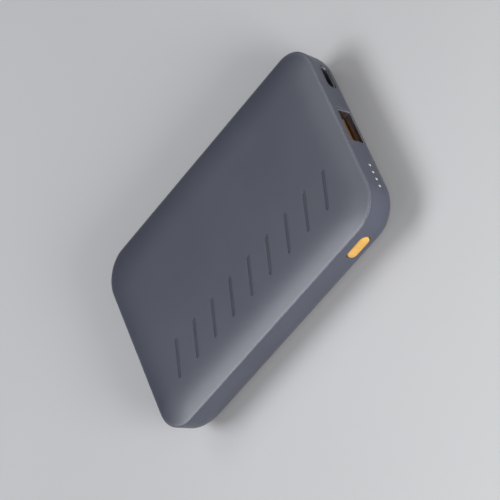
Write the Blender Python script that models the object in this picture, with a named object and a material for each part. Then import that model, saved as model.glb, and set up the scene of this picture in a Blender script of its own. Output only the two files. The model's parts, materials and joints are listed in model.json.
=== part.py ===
"""Pocket power bank: a two-piece case with a pouch cell, one board, a USB-A and a USB-C
socket, four charge lights and a side button that presses a switch on the board.

Units are metres. The origin is the centre of the flat rear face. +X points to the end with
the sockets, +Z out of the front face, and the side button faces -Y.
"""

import math

import bmesh
import bpy

MM = 0.001
ROOT_NAME = "power_bank"

# The case. Its widest outline is the front edge, where the crowned face meets the sides.
CASE_LENGTH = 107.0 * MM
CASE_WIDTH = 69.0 * MM
CASE_THICKNESS = 15.0 * MM
CORNER_RADIUS = 10.3 * MM
CROWN_RISE = 1.1 * MM
CROWN_BAND = 14.0 * MM
FRONT_EDGE_RADIUS = 0.35 * MM
SIDE_DRAFT = math.radians(3.7)
REAR_ROUNDING = 9.0 * MM
RADIUS_LOSS = 0.2  # metres of plan radius lost per metre of inset
WALL = 1.5 * MM
GAP = 0.3 * MM  # between pieces that touch
COVER_EDGE = 0.5 * MM  # height of the front cover's visible edge
LIP_DEPTH = 1.5 * MM
LIP_WALL = 1.0 * MM
CORNER_STEPS = 9

# Snap hooks on the front cover's lip, and their pockets in the rear cover's long walls.
HOOK_STATIONS = (-36.0 * MM, -6.0 * MM, 18.0 * MM)
HOOK_LENGTH = 5.0 * MM
HOOK_HEIGHT = 0.8 * MM
HOOK_REACH = 0.6 * MM

# Places on the case.
PORT_HEIGHT = 8.7 * MM  # middle of the sockets, lights and button above the rear face
USB_A_Y = 0.0
USB_C_Y = 20.0 * MM
LIGHTS_Y = -20.2 * MM
LIGHT_COUNT = 4
LIGHT_PITCH = 2.75 * MM
BUTTON_X = 36.9 * MM

# Sockets.
SOCKET_FACE = 52.6 * MM  # x of both sockets' mouths, just inside the case wall
SHEET = 0.3 * MM  # thickness of the sockets' steel
USB_A_WIDTH = 13.1 * MM
USB_A_HEIGHT = 5.7 * MM
USB_A_DEPTH = 14.0 * MM
USB_A_BLOCK = 3.5 * MM  # depth of the insulating block that the tongue stands out of
USB_A_CONTACTS_Y = (-3.5 * MM, -1.0 * MM, 1.0 * MM, 3.5 * MM)
TONGUE_A_DROP = 1.25 * MM  # the tongue lies in the rear half of the USB-A mouth
TONGUE_A_WIDTH = 11.2 * MM
TONGUE_A_THICKNESS = 1.8 * MM
TONGUE_A_SETBACK = 2.4 * MM
TONGUE_ROOT = 1.0 * MM  # how far a tongue reaches into its block
CONTACT_GAP = 0.1 * MM
CONTACT_THICKNESS = 0.25 * MM
CONTACT_WIDTH = 1.0 * MM
CONTACT_SETBACK = 3.2 * MM
CONTACT_TAIL = 0.9 * MM  # how far a contact stands out behind the socket
CONTACT_FOOT = 0.8 * MM
USB_C_WIDTH = 8.94 * MM
USB_C_HEIGHT = 3.26 * MM
USB_C_DEPTH = 7.3 * MM
USB_C_BLOCK = 2.0 * MM
TONGUE_C_WIDTH = 6.7 * MM
TONGUE_C_THICKNESS = 0.7 * MM
TONGUE_C_SETBACK = 0.7 * MM
USB_C_CONTACTS = 12
USB_C_PITCH = 0.5 * MM
COMB_CARRIER = 0.5 * MM
COMB_FINGER = 0.26 * MM
COMB_THICKNESS = 0.12 * MM
COMB_SETBACK = 1.4 * MM

# Lights.
LIGHT_DIAMETER = 0.9 * MM
LIGHT_HOLE_GAP = 0.15 * MM
GUIDE_DEPTH = 1.4 * MM
GUIDE_HEIGHT = 1.6 * MM
GUIDE_END = 1.0 * MM  # the bar's length past its outermost pins
LIGHT_CHIP = (0.8 * MM, 1.6 * MM, 0.7 * MM)

# Button and switch.
BUTTON_LENGTH = 9.0 * MM
BUTTON_HEIGHT = 3.4 * MM
BUTTON_SIDE_GAP = 0.2 * MM
BUTTON_PROUD = 0.35 * MM
BUTTON_EDGE = 0.35 * MM  # depth of the softened edge round its face
FLANGE_MARGIN = 0.6 * MM
FLANGE_THICKNESS = 0.8 * MM
RIB_WIDTH = 2.4 * MM
RIB_HEIGHT = 1.2 * MM
RIB_REACH = 0.4 * MM  # how far the rib stands out behind the flange
SWITCH_TRAVEL = 0.25 * MM
SWITCH_LENGTH = 6.0 * MM
SWITCH_DEPTH = 3.5 * MM
SWITCH_TOP = 1.5 * MM  # height of its body above the button's middle
SWITCH_FRAME_THICKNESS = 0.2 * MM
PLUNGER_WIDTH = 2.6 * MM
PLUNGER_HEIGHT = 1.5 * MM
PLUNGER_REACH = 1.0 * MM
PLUNGER_EDGE = 0.15 * MM
PLUNGER_SIDE_GAP = 0.2 * MM
POCKET_DEPTH = 1.6 * MM

# Board.
BOARD_THICKNESS = 1.2 * MM
BOARD_TOP = PORT_HEIGHT - USB_C_HEIGHT / 2 - GAP
BOARD_FRONT_X = 50.5 * MM
BOARD_BACK_X = 30.5 * MM
BOARD_HALF_WIDTH = 30.6 * MM
BOARD_CORNER = 8.0 * MM
SCREW_X = 41.0 * MM
SCREW_Y = 22.0 * MM
SCREW_RADIUS = 0.8 * MM
SCREW_HEAD_RADIUS = 1.6 * MM
SCREW_HEAD_EDGE = 0.4 * MM
SCREW_HEAD_HEIGHT = 0.8 * MM
CHIP_EDGE = 0.15 * MM
BOSS_RADIUS = 2.2 * MM

# Cell.
CELL_BACK_X = -49.0 * MM
CELL_FRONT_X = 24.5 * MM
CELL_WIDTH = 58.0 * MM
CELL_THICKNESS = 9.5 * MM
CELL_EDGE = 3.0 * MM
CELL_CORNER = 6.0 * MM
TERRACE_LENGTH = 3.5 * MM
TERRACE_THICKNESS = 2.0 * MM
TERRACE_HALF_WIDTH = 26.0 * MM
PAD_THICKNESS = 0.3 * MM
FOAM_THICKNESS = 0.7 * MM
TAB_Y = 12.0 * MM
TAB_WIDTH = 5.0 * MM
TAB_THICKNESS = 0.2 * MM
LEAD_RADIUS = 0.8 * MM
LEAD_SHIFT = 2.0 * MM  # how far a lead runs inwards on its way to the board
LEAD_HUMP = 0.6 * MM
LEAD_STEPS = 10
RIB_THICKNESS = 1.0 * MM

# Heights and places that follow from the dimensions above.
EDGE_HEIGHT = CASE_THICKNESS - CROWN_RISE
COVER_BOTTOM = EDGE_HEIGHT - COVER_EDGE
RIM_HEIGHT = COVER_BOTTOM - GAP
LIP_BOTTOM = COVER_BOTTOM - LIP_DEPTH
BOARD_BOTTOM = BOARD_TOP - BOARD_THICKNESS
PARTS_ON_BOARD = BOARD_TOP + GAP
PAD_BOTTOM = WALL + GAP
CELL_BOTTOM = PAD_BOTTOM + PAD_THICKNESS + GAP
CELL_TOP = CELL_BOTTOM + CELL_THICKNESS
TERRACE_TOP = CELL_BOTTOM + CELL_THICKNESS / 2 + TERRACE_THICKNESS / 2
TONGUE_A_TOP = PORT_HEIGHT - TONGUE_A_DROP + TONGUE_A_THICKNESS / 2


# ---------------------------------------------------------------- scene and objects


def clear_scene():
    for obj in list(bpy.data.objects):
        bpy.data.objects.remove(obj)


def material(name, color, roughness, metallic=0.0):
    """One Principled material, made once for each name."""
    made = bpy.data.materials.get(name)
    if made:
        return made
    made = bpy.data.materials.new(name)
    made.use_nodes = True
    shader = made.node_tree.nodes["Principled BSDF"]
    shader.inputs["Base Color"].default_value = (*color, 1.0)
    shader.inputs["Roughness"].default_value = roughness
    shader.inputs["Metallic"].default_value = metallic
    return made


def case_plastic():
    return material("case_plastic", (0.105, 0.110, 0.142), 0.55)


def button_plastic():
    return material("button_plastic", (0.90, 0.42, 0.05), 0.40)


def socket_steel():
    return material("socket_steel", (0.62, 0.62, 0.64), 0.30, 1.0)


def orange_insulator():
    return material("orange_insulator", (0.75, 0.30, 0.04), 0.45)


def black_insulator():
    return material("black_insulator", (0.02, 0.02, 0.02), 0.45)


def contact_gold():
    return material("contact_gold", (0.83, 0.62, 0.26), 0.28, 1.0)


def board_laminate():
    return material("board_laminate", (0.02, 0.13, 0.06), 0.45)


def light_plastic():
    return material("light_plastic", (0.90, 0.92, 0.95), 0.25)


def chip_plastic():
    return material("chip_plastic", (0.03, 0.03, 0.035), 0.5)


def ceramic():
    return material("ceramic", (0.55, 0.42, 0.28), 0.4)


def ferrite():
    return material("ferrite", (0.10, 0.10, 0.11), 0.7)


def cell_foil():
    return material("cell_foil", (0.66, 0.67, 0.69), 0.35, 1.0)


def nickel():
    return material("nickel", (0.60, 0.58, 0.54), 0.35, 1.0)


def foam():
    return material("foam", (0.05, 0.05, 0.05), 0.95)


def adhesive():
    return material("adhesive", (0.75, 0.74, 0.70), 0.6)


def amber_tape():
    return material("amber_tape", (0.65, 0.33, 0.04), 0.3)


def screw_steel():
    return material("screw_steel", (0.45, 0.45, 0.47), 0.35, 1.0)


def red_silicone():
    return material("red_silicone", (0.60, 0.02, 0.02), 0.5)


def black_silicone():
    return material("black_silicone", (0.02, 0.02, 0.02), 0.5)


def link(obj):
    obj.parent = bpy.data.objects[ROOT_NAME]
    bpy.context.scene.collection.objects.link(obj)


def add_object(name, mesh, look, origin=(0.0, 0.0, 0.0)):
    """Turns a bmesh that was built in place into an object with its origin at the point given."""
    bmesh.ops.recalc_face_normals(mesh, faces=mesh.faces)
    bmesh.ops.translate(mesh, verts=mesh.verts, vec=[-value for value in origin])
    data = bpy.data.meshes.new(name)
    mesh.to_mesh(data)
    mesh.free()
    data.materials.append(look)
    data.shade_smooth()
    data.set_sharp_from_angle(angle=math.radians(32))
    obj = bpy.data.objects.new(name, data)
    obj.location = origin
    link(obj)
    return obj


def combine(target, name, mesh, operation):
    """Adds or cuts a helper shape with a Boolean. The helper itself isn't a piece."""
    helper = add_object(name, mesh, target.data.materials[0])
    helper.hide_render = True
    helper.display_type = "WIRE"
    modifier = target.modifiers.new(name, "BOOLEAN")
    modifier.operation = operation
    modifier.solver = "EXACT"
    modifier.object = helper


def cut(target, name, mesh):
    combine(target, name, mesh, "DIFFERENCE")


def join(target, name, mesh):
    combine(target, name, mesh, "UNION")


# ---------------------------------------------------------------- shapes


def rounded_rectangle(length, width, radius, centre=(0.0, 0.0), steps=5):
    """Points (u, v) of a rectangle with round corners, anticlockwise."""
    half_u = length / 2 - radius
    half_v = width / 2 - radius
    corners = ((half_u, half_v), (-half_u, half_v), (-half_u, -half_v), (half_u, -half_v))
    points = []
    for quarter, (corner_u, corner_v) in enumerate(corners):
        for step in range(steps + 1):
            angle = (quarter + step / steps) * math.pi / 2
            u = centre[0] + corner_u + radius * math.cos(angle)
            v = centre[1] + corner_v + radius * math.sin(angle)
            points.append((u, v))
    return points


def stadium(length, height, centre, steps=6):
    """A slot outline: a rectangle whose short ends are half circles."""
    radius = height / 2
    points = []
    for end in (1, -1):
        for step in range(2 * steps + 1):
            angle = math.pi / 2 * (step / steps - end)
            u = centre[0] + end * (length / 2 - radius) + radius * math.cos(angle)
            points.append((u, centre[1] + radius * math.sin(angle)))
    return points


def circle(radius, centre, steps=16):
    points = []
    for step in range(steps):
        angle = 2 * math.pi * step / steps
        points.append((centre[0] + radius * math.cos(angle), centre[1] + radius * math.sin(angle)))
    return points


def place(axis, along, u, v):
    """The point at this distance along an axis, with u and v on the other two, in XYZ order."""
    if axis == "X":
        return (along, u, v)
    if axis == "Y":
        return (u, along, v)
    return (u, v, along)


def loft(rings):
    """A closed mesh through rings with equal numbers of points, capped at both ends."""
    mesh = bmesh.new()
    rows = [[mesh.verts.new(point) for point in ring] for ring in rings]
    for first, second in zip(rows, rows[1:]):
        for i in range(len(first)):
            j = (i + 1) % len(first)
            mesh.faces.new((first[i], first[j], second[j], second[i]))
    mesh.faces.new(rows[0])
    mesh.faces.new(rows[-1])
    return mesh


def prism(outline, axis, low, high):
    """An outline of (u, v) points extruded along an axis from low to high."""
    return loft([[place(axis, along, u, v) for u, v in outline] for along in (low, high)])


def block(low, high, edge=0.0):
    """A box between two corners, with bevelled edges where an edge width is given."""
    mesh = bmesh.new()
    bmesh.ops.create_cube(mesh, size=1.0)
    size = [b - a for a, b in zip(low, high)]
    middle = [(a + b) / 2 for a, b in zip(low, high)]
    bmesh.ops.scale(mesh, verts=mesh.verts, vec=size)
    bmesh.ops.translate(mesh, verts=mesh.verts, vec=middle)
    if edge:
        bmesh.ops.bevel(
            mesh, geom=mesh.edges[:], offset=edge, segments=1, affect="EDGES", clamp_overlap=True
        )
    return mesh


def block_at(centre, size, edge=0.0):
    low = [c - s / 2 for c, s in zip(centre, size)]
    high = [c + s / 2 for c, s in zip(centre, size)]
    return block(low, high, edge)


def tube(outer, inner, axis, low, high):
    """A pipe with outer and inner outlines of equal numbers of points, open at both ends."""
    mesh = bmesh.new()
    rows = []
    for outline, along in ((outer, low), (outer, high), (inner, high), (inner, low)):
        rows.append([mesh.verts.new(place(axis, along, u, v)) for u, v in outline])
    for first, second in zip(rows, rows[1:] + rows[:1]):
        for i in range(len(first)):
            j = (i + 1) % len(first)
            mesh.faces.new((first[i], first[j], second[j], second[i]))
    return mesh


# ---------------------------------------------------------------- the case's form


def case_ring(inset, height, depth=0.0):
    """One plan outline of the case: inset from the widest outline, for a surface this deep."""
    radius = CORNER_RADIUS - depth - RADIUS_LOSS * (inset - depth)
    outline = rounded_rectangle(
        CASE_LENGTH - 2 * inset, CASE_WIDTH - 2 * inset, radius, steps=CORNER_STEPS
    )
    return [(x, y, height) for x, y in outline]


def wall_inset(height, depth=0.0):
    """How far the drafted side lies inside the front edge, for a surface this deep."""
    return depth / math.cos(SIDE_DRAFT) + math.tan(SIDE_DRAFT) * (EDGE_HEIGHT - height)


def side_profile(top, depth=0.0, steps=8):
    """(inset, height) up the side, from the rear's flat to the height given."""
    tangent_height = REAR_ROUNDING * (1 - math.sin(SIDE_DRAFT))
    centre_inset = wall_inset(tangent_height) + REAR_ROUNDING * math.cos(SIDE_DRAFT)
    radius = REAR_ROUNDING - depth
    profile = []
    for step in range(steps + 1):
        angle = math.pi / 2 + (SIDE_DRAFT - math.pi / 2) * step / steps
        inset = centre_inset - radius * math.cos(angle)
        profile.append((inset, REAR_ROUNDING - radius * math.sin(angle)))
    profile.append((wall_inset(top, depth), top))
    return profile


def crown_height(inset):
    """Height of the front face this far inside the case's edge."""
    share = min(1.0, inset / CROWN_BAND)
    return EDGE_HEIGHT + CROWN_RISE * (1 - (1 - share) ** 3)


def crown_ring(inset, height):
    """An outline on the front face, where the corners tighten towards the flat middle."""
    radius = CORNER_RADIUS - inset / 2
    outline = rounded_rectangle(
        CASE_LENGTH - 2 * inset, CASE_WIDTH - 2 * inset, radius, steps=CORNER_STEPS
    )
    return [(x, y, height) for x, y in outline]


def front_edge_profile(steps=3):
    """(inset, height) round the front edge, from the drafted side to the crowned face."""
    slope = math.atan(3 * CROWN_RISE / CROWN_BAND)
    turn = math.pi / 2 - slope + SIDE_DRAFT
    tangent = FRONT_EDGE_RADIUS * math.tan(turn / 2)
    start_height = EDGE_HEIGHT - tangent * math.cos(SIDE_DRAFT)
    centre_inset = wall_inset(start_height) + FRONT_EDGE_RADIUS * math.cos(SIDE_DRAFT)
    centre_height = start_height + FRONT_EDGE_RADIUS * math.sin(SIDE_DRAFT)
    profile = []
    for step in range(steps + 1):
        angle = -SIDE_DRAFT + turn * step / steps
        inset = centre_inset - FRONT_EDGE_RADIUS * math.cos(angle)
        profile.append((inset, centre_height + FRONT_EDGE_RADIUS * math.sin(angle)))
    return profile


# ---------------------------------------------------------------- covers


def make_front_cover():
    crown_insets = [CROWN_BAND * share for share in (0.06, 0.14, 0.25, 0.4, 0.6, 1.0)]
    lip_outside = wall_inset(LIP_BOTTOM, WALL) + GAP
    lip_inside = lip_outside + LIP_WALL
    rings = [crown_ring(inset, crown_height(inset)) for inset in reversed(crown_insets)]
    rings += [case_ring(inset, height) for inset, height in reversed(front_edge_profile())]
    rings.append(case_ring(wall_inset(COVER_BOTTOM), COVER_BOTTOM))
    rings.append(case_ring(lip_outside, COVER_BOTTOM, WALL))
    rings.append(case_ring(lip_outside, LIP_BOTTOM, WALL))
    rings.append(case_ring(lip_inside, LIP_BOTTOM, WALL))
    inner_insets = [lip_inside] + [CROWN_BAND * share for share in (0.4, 0.6, 1.0)]
    rings += [crown_ring(inset, crown_height(inset) - WALL) for inset in inner_insets]
    cover = add_object("front_cover", loft(rings), case_plastic())
    for side in (-1, 1):
        for number, station in enumerate(HOOK_STATIONS):
            inner_y = CASE_WIDTH / 2 - lip_outside - LIP_WALL / 2
            outer_y = CASE_WIDTH / 2 - lip_outside + HOOK_REACH
            centre = (station, side * (inner_y + outer_y) / 2, LIP_BOTTOM + HOOK_HEIGHT / 2)
            size = (HOOK_LENGTH, outer_y - inner_y, HOOK_HEIGHT)
            join(cover, f"hook_{number}_{'near' if side < 0 else 'far'}", block_at(centre, size))
    return cover


def make_rear_cover():
    rings = [case_ring(inset, height) for inset, height in side_profile(RIM_HEIGHT)]
    inner = side_profile(RIM_HEIGHT, WALL)
    rings += [case_ring(inset, height, WALL) for inset, height in reversed(inner)]
    cover = add_object("rear_cover", loft(rings), case_plastic())
    add_board_bosses(cover)
    add_cell_rib(cover)
    cut_hook_pockets(cover)
    cut_socket_openings(cover)
    cut_light_holes(cover)
    cut_button_slot(cover)
    return cover


def add_board_bosses(cover):
    """Two hollow posts that the board's screws bite into."""
    for side, label in ((-1, "near"), (1, "far")):
        centre = (SCREW_X, side * SCREW_Y)
        post = prism(circle(BOSS_RADIUS, centre), "Z", WALL / 2, BOARD_BOTTOM - GAP)
        join(cover, f"boss_{label}", post)
        bore = prism(circle(SCREW_RADIUS + GAP / 2, centre, 12), "Z", WALL, BOARD_TOP)
        cut(cover, f"boss_bore_{label}", bore)


def add_cell_rib(cover):
    """A low rib across the floor that keeps the cell off the board."""
    low = (CELL_FRONT_X + TERRACE_LENGTH + GAP, -TERRACE_HALF_WIDTH + 2 * MM, WALL / 2)
    high = (low[0] + RIB_THICKNESS, -low[1], BOARD_BOTTOM - 2 * GAP)
    join(cover, "cell_rib", block(low, high))


def cut_hook_pockets(cover):
    lip_outside = wall_inset(LIP_BOTTOM, WALL) + GAP
    outer_y = CASE_WIDTH / 2 - lip_outside + HOOK_REACH + GAP
    inner_y = CASE_WIDTH / 2 - lip_outside - GAP
    size = (HOOK_LENGTH + 2 * GAP, outer_y - inner_y, HOOK_HEIGHT + 2 * GAP)
    for side, label in ((-1, "near"), (1, "far")):
        for number, station in enumerate(HOOK_STATIONS):
            centre = (station, side * (inner_y + outer_y) / 2, LIP_BOTTOM + HOOK_HEIGHT / 2)
            cut(cover, f"hook_pocket_{number}_{label}", block_at(centre, size))


def cut_socket_openings(cover):
    low = CASE_LENGTH / 2 - 4 * WALL
    high = CASE_LENGTH / 2 + WALL
    clearance = 2 * GAP
    usb_a = rounded_rectangle(
        USB_A_WIDTH + clearance, USB_A_HEIGHT + clearance, 0.7 * MM, (USB_A_Y, PORT_HEIGHT), 3
    )
    cut(cover, "usb_a_opening", prism(usb_a, "X", low, high))
    usb_c = stadium(USB_C_WIDTH + clearance, USB_C_HEIGHT + clearance, (USB_C_Y, PORT_HEIGHT))
    cut(cover, "usb_c_opening", prism(usb_c, "X", low, high))


def light_positions():
    first = LIGHTS_Y + LIGHT_PITCH * (LIGHT_COUNT - 1) / 2
    return [first - LIGHT_PITCH * number for number in range(LIGHT_COUNT)]


def cut_light_holes(cover):
    radius = LIGHT_DIAMETER / 2 + LIGHT_HOLE_GAP
    for number, y in enumerate(light_positions(), 1):
        hole = circle(radius, (y, PORT_HEIGHT), 12)
        low = CASE_LENGTH / 2 - 2 * WALL
        cut(cover, f"light_hole_{number}", prism(hole, "X", low, CASE_LENGTH / 2 + WALL))


def cut_button_slot(cover):
    """The slot that the button stands in, and a flat seat for its flange inside the wall."""
    centre = (BUTTON_X, PORT_HEIGHT)
    clearance = 2 * BUTTON_SIDE_GAP
    slot = stadium(BUTTON_LENGTH + clearance, BUTTON_HEIGHT + clearance, centre)
    outside = -CASE_WIDTH / 2 - WALL
    cut(cover, "button_slot", prism(slot, "Y", outside, outside + 4 * WALL))
    margin = 2 * (FLANGE_MARGIN + GAP)
    seat = stadium(BUTTON_LENGTH + margin, BUTTON_HEIGHT + margin, centre)
    seat_y = -(CASE_WIDTH / 2 - wall_inset(PORT_HEIGHT) - WALL)
    cut(cover, "button_seat", prism(seat, "Y", seat_y, seat_y + 2 * WALL))


# ---------------------------------------------------------------- cell


def make_cell():
    """The pouch: a flat bag with rounded edges, and a thin sealed terrace at its front end."""
    length = CELL_FRONT_X - CELL_BACK_X
    middle = ((CELL_BACK_X + CELL_FRONT_X) / 2, 0.0)
    steps = 4
    rings = []
    for pole in (-1, 1):
        flat_height = CELL_BOTTOM + CELL_EDGE if pole < 0 else CELL_TOP - CELL_EDGE
        for step in range(steps + 1):
            angle = math.pi / 2 * (1 - step / steps if pole < 0 else step / steps)
            inset = CELL_EDGE * (1 - math.cos(angle))
            height = flat_height + pole * CELL_EDGE * math.sin(angle)
            outline = rounded_rectangle(
                length - 2 * inset, CELL_WIDTH - 2 * inset, CELL_CORNER - inset, middle, 4
            )
            rings.append([(x, y, height) for x, y in outline])
    cell = add_object("battery_cell", loft(rings), cell_foil())
    low = (CELL_FRONT_X - MM, -TERRACE_HALF_WIDTH, TERRACE_TOP - TERRACE_THICKNESS)
    high = (CELL_FRONT_X + TERRACE_LENGTH, TERRACE_HALF_WIDTH, TERRACE_TOP)
    join(cell, "cell_terrace", block(low, high))


def make_cell_pads():
    middle_x = (CELL_BACK_X + CELL_FRONT_X) / 2
    pad_size = (50.0 * MM, 36.0 * MM, PAD_THICKNESS)
    pad_centre = (middle_x, 0.0, PAD_BOTTOM + PAD_THICKNESS / 2)
    add_object("cell_adhesive_pad", block_at(pad_centre, pad_size), adhesive())
    for number, offset in enumerate((-22.0 * MM, 22.0 * MM), 1):
        centre = (middle_x + offset, 0.0, CELL_TOP + GAP + FOAM_THICKNESS / 2)
        size = (10.0 * MM, 44.0 * MM, FOAM_THICKNESS)
        add_object(f"foam_pad_{number}", block_at(centre, size), foam())


def make_cell_tabs():
    """Two nickel strips on the terrace, one for each pole, under an insulating tape."""
    bottom = TERRACE_TOP + GAP
    for side, name in ((1, "cell_tab_plus"), (-1, "cell_tab_minus")):
        low = (CELL_FRONT_X + GAP, side * TAB_Y - TAB_WIDTH / 2, bottom)
        high = (CELL_FRONT_X + TERRACE_LENGTH, side * TAB_Y + TAB_WIDTH / 2, bottom + TAB_THICKNESS)
        add_object(name, block(low, high), nickel())
    tape_half = TAB_Y - TAB_WIDTH / 2 - 2 * GAP
    low = (CELL_FRONT_X + GAP, -tape_half, bottom)
    high = (CELL_FRONT_X + TERRACE_LENGTH, tape_half, bottom + TAB_THICKNESS)
    add_object("cell_end_tape", block(low, high), amber_tape())


def make_lead(name, side, look):
    """One insulated wire from a cell tab, over the rib, to its pad on the board."""
    start_height = TERRACE_TOP + 2 * GAP + TAB_THICKNESS + LEAD_RADIUS
    end_height = BOARD_TOP + GAP + LEAD_RADIUS
    start_x = CELL_FRONT_X + TERRACE_LENGTH / 2
    end_x = BOARD_BACK_X + 3.5 * MM
    points = []
    for step in range(LEAD_STEPS + 1):
        share = step / LEAD_STEPS
        ease = share * share * (3 - 2 * share)
        hump = LEAD_HUMP * math.sin(math.pi * share)
        x = start_x + (end_x - start_x) * share
        y = side * (TAB_Y - LEAD_SHIFT * ease)
        points.append((x, y, start_height + (end_height - start_height) * ease + hump))
    curve = bpy.data.curves.new(name, "CURVE")
    curve.dimensions = "3D"
    curve.bevel_depth = LEAD_RADIUS
    curve.bevel_resolution = 2
    curve.use_fill_caps = True
    curve.materials.append(look)
    spline = curve.splines.new("POLY")
    spline.points.add(len(points) - 1)
    for target, point in zip(spline.points, points):
        target.co = (*point, 1.0)
    link(bpy.data.objects.new(name, curve))


# ---------------------------------------------------------------- board


def make_board():
    """A laminate with round corners at the socket end, notched for the USB-A socket."""
    outline = [(BOARD_BACK_X, BOARD_HALF_WIDTH), (BOARD_BACK_X, -BOARD_HALF_WIDTH)]
    steps = 6
    for side in (-1, 1):
        for step in range(steps + 1):
            angle = math.pi / 2 * (step / steps + (side - 1) / 2)
            x = BOARD_FRONT_X - BOARD_CORNER * (1 - math.cos(angle))
            y = side * (BOARD_HALF_WIDTH - BOARD_CORNER) + BOARD_CORNER * math.sin(angle)
            outline.append((x, y))
    board = add_object("main_board", prism(outline, "Z", BOARD_BOTTOM, BOARD_TOP), board_laminate())
    notch_back = SOCKET_FACE - USB_A_DEPTH - GAP
    half = USB_A_WIDTH / 2 + GAP
    low = (notch_back, USB_A_Y - half, BOARD_BOTTOM - MM)
    high = (BOARD_FRONT_X + MM, USB_A_Y + half, BOARD_TOP + MM)
    cut(board, "usb_a_notch", block(low, high))
    for side, label in ((-1, "near"), (1, "far")):
        hole = circle(SCREW_RADIUS + GAP, (SCREW_X, side * SCREW_Y), 12)
        cut(board, f"screw_hole_{label}", prism(hole, "Z", BOARD_BOTTOM - MM, BOARD_TOP + MM))


def make_board_screws():
    """Each screw is a shank with a domed head, made by one turned profile."""
    for number, side in enumerate((-1, 1), 1):
        centre = (SCREW_X, side * SCREW_Y)
        sections = (
            (0.4 * SCREW_RADIUS, WALL + 2 * GAP),
            (SCREW_RADIUS, WALL + 4 * GAP),
            (SCREW_RADIUS, PARTS_ON_BOARD),
            (SCREW_HEAD_RADIUS, PARTS_ON_BOARD),
            (SCREW_HEAD_RADIUS, PARTS_ON_BOARD + SCREW_HEAD_EDGE),
            (0.55 * SCREW_HEAD_RADIUS, PARTS_ON_BOARD + SCREW_HEAD_HEIGHT),
        )
        rings = []
        for radius, height in sections:
            rings.append([(x, y, height) for x, y in circle(radius, centre, 12)])
        add_object(f"board_screw_{number}", loft(rings), screw_steel())


def make_board_parts():
    """The larger components: each entry gives a name, a middle (x, y) and a size, in mm."""
    components = (
        ("power_inductor", (35.0, 15.5), (7.0, 7.0, 4.0), ferrite),
        ("controller_chip", (34.5, -15.5), (5.0, 5.0, 0.9), chip_plastic),
        ("port_chip", (41.0, 12.0), (3.0, 3.0, 0.8), chip_plastic),
        ("mosfet_1", (33.5, 1.5), (3.3, 3.3, 1.0), chip_plastic),
        ("mosfet_2", (33.5, -4.0), (3.3, 3.3, 1.0), chip_plastic),
        ("capacitor_1", (33.0, 23.0), (1.6, 3.2, 1.6), ceramic),
        ("capacitor_2", (36.0, 23.0), (1.6, 3.2, 1.6), ceramic),
        ("capacitor_3", (40.0, -12.0), (3.2, 1.6, 1.6), ceramic),
        ("capacitor_4", (45.0, -12.0), (3.2, 1.6, 1.6), ceramic),
        ("sense_resistor", (33.0, -22.5), (1.6, 3.2, 0.7), chip_plastic),
    )
    for name, middle, size, look in components:
        size = [value * MM for value in size]
        centre = (middle[0] * MM, middle[1] * MM, PARTS_ON_BOARD + size[2] / 2)
        add_object(name, block_at(centre, size, CHIP_EDGE), look())


# ---------------------------------------------------------------- sockets


def make_usb_a():
    back = SOCKET_FACE - USB_A_DEPTH
    centre = (USB_A_Y, PORT_HEIGHT)
    outer = rounded_rectangle(USB_A_WIDTH, USB_A_HEIGHT, 0.6 * MM, centre, 2)
    inner = rounded_rectangle(
        USB_A_WIDTH - 2 * SHEET, USB_A_HEIGHT - 2 * SHEET, 0.3 * MM, centre, 2
    )
    add_object("usb_a_shell", tube(outer, inner, "X", back, SOCKET_FACE), socket_steel())
    make_usb_a_insulator(back)
    for number, y in enumerate(USB_A_CONTACTS_Y, 1):
        make_usb_a_contact(number, y, back)


def make_usb_a_insulator(back):
    """A block that fills the back of the shell, with the contact tongue standing out of it."""
    half_y = USB_A_WIDTH / 2 - SHEET - GAP
    half_z = USB_A_HEIGHT / 2 - SHEET - GAP
    low = (back + GAP, USB_A_Y - half_y, PORT_HEIGHT - half_z)
    high = (back + USB_A_BLOCK, USB_A_Y + half_y, PORT_HEIGHT + half_z)
    insulator = add_object("usb_a_insulator", block(low, high), orange_insulator())
    half_tongue = TONGUE_A_WIDTH / 2
    low = (
        back + USB_A_BLOCK - TONGUE_ROOT,
        USB_A_Y - half_tongue,
        TONGUE_A_TOP - TONGUE_A_THICKNESS,
    )
    high = (SOCKET_FACE - TONGUE_A_SETBACK, USB_A_Y + half_tongue, TONGUE_A_TOP)
    join(insulator, "usb_a_tongue", block(low, high, 0.2 * MM))
    for number, y in enumerate(USB_A_CONTACTS_Y, 1):
        half = CONTACT_WIDTH / 2 + CONTACT_GAP
        low = (back, USB_A_Y + y - half, TONGUE_A_TOP)
        high = (back + 2 * USB_A_BLOCK, USB_A_Y + y + half, TONGUE_A_TOP + 2 * GAP)
        cut(insulator, f"usb_a_contact_slot_{number}", block(low, high))


def make_usb_a_contact(number, y, back):
    """A strip along the tongue, out through the block, and down to a foot on the board."""
    top = TONGUE_A_TOP + CONTACT_GAP + CONTACT_THICKNESS
    front_x = SOCKET_FACE - CONTACT_SETBACK
    tail_x = back - CONTACT_TAIL
    foot_x = tail_x - CONTACT_FOOT
    foot = PARTS_ON_BOARD
    thick = CONTACT_THICKNESS
    outline = (
        (front_x, top),
        (tail_x, top),
        (tail_x, foot + thick),
        (foot_x, foot + thick),
        (foot_x, foot),
        (tail_x + thick, foot),
        (tail_x + thick, top - thick),
        (front_x, top - thick),
    )
    low = USB_A_Y + y - CONTACT_WIDTH / 2
    strip = prism(outline, "Y", low, low + CONTACT_WIDTH)
    add_object(f"usb_a_contact_{number}", strip, contact_gold())


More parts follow.
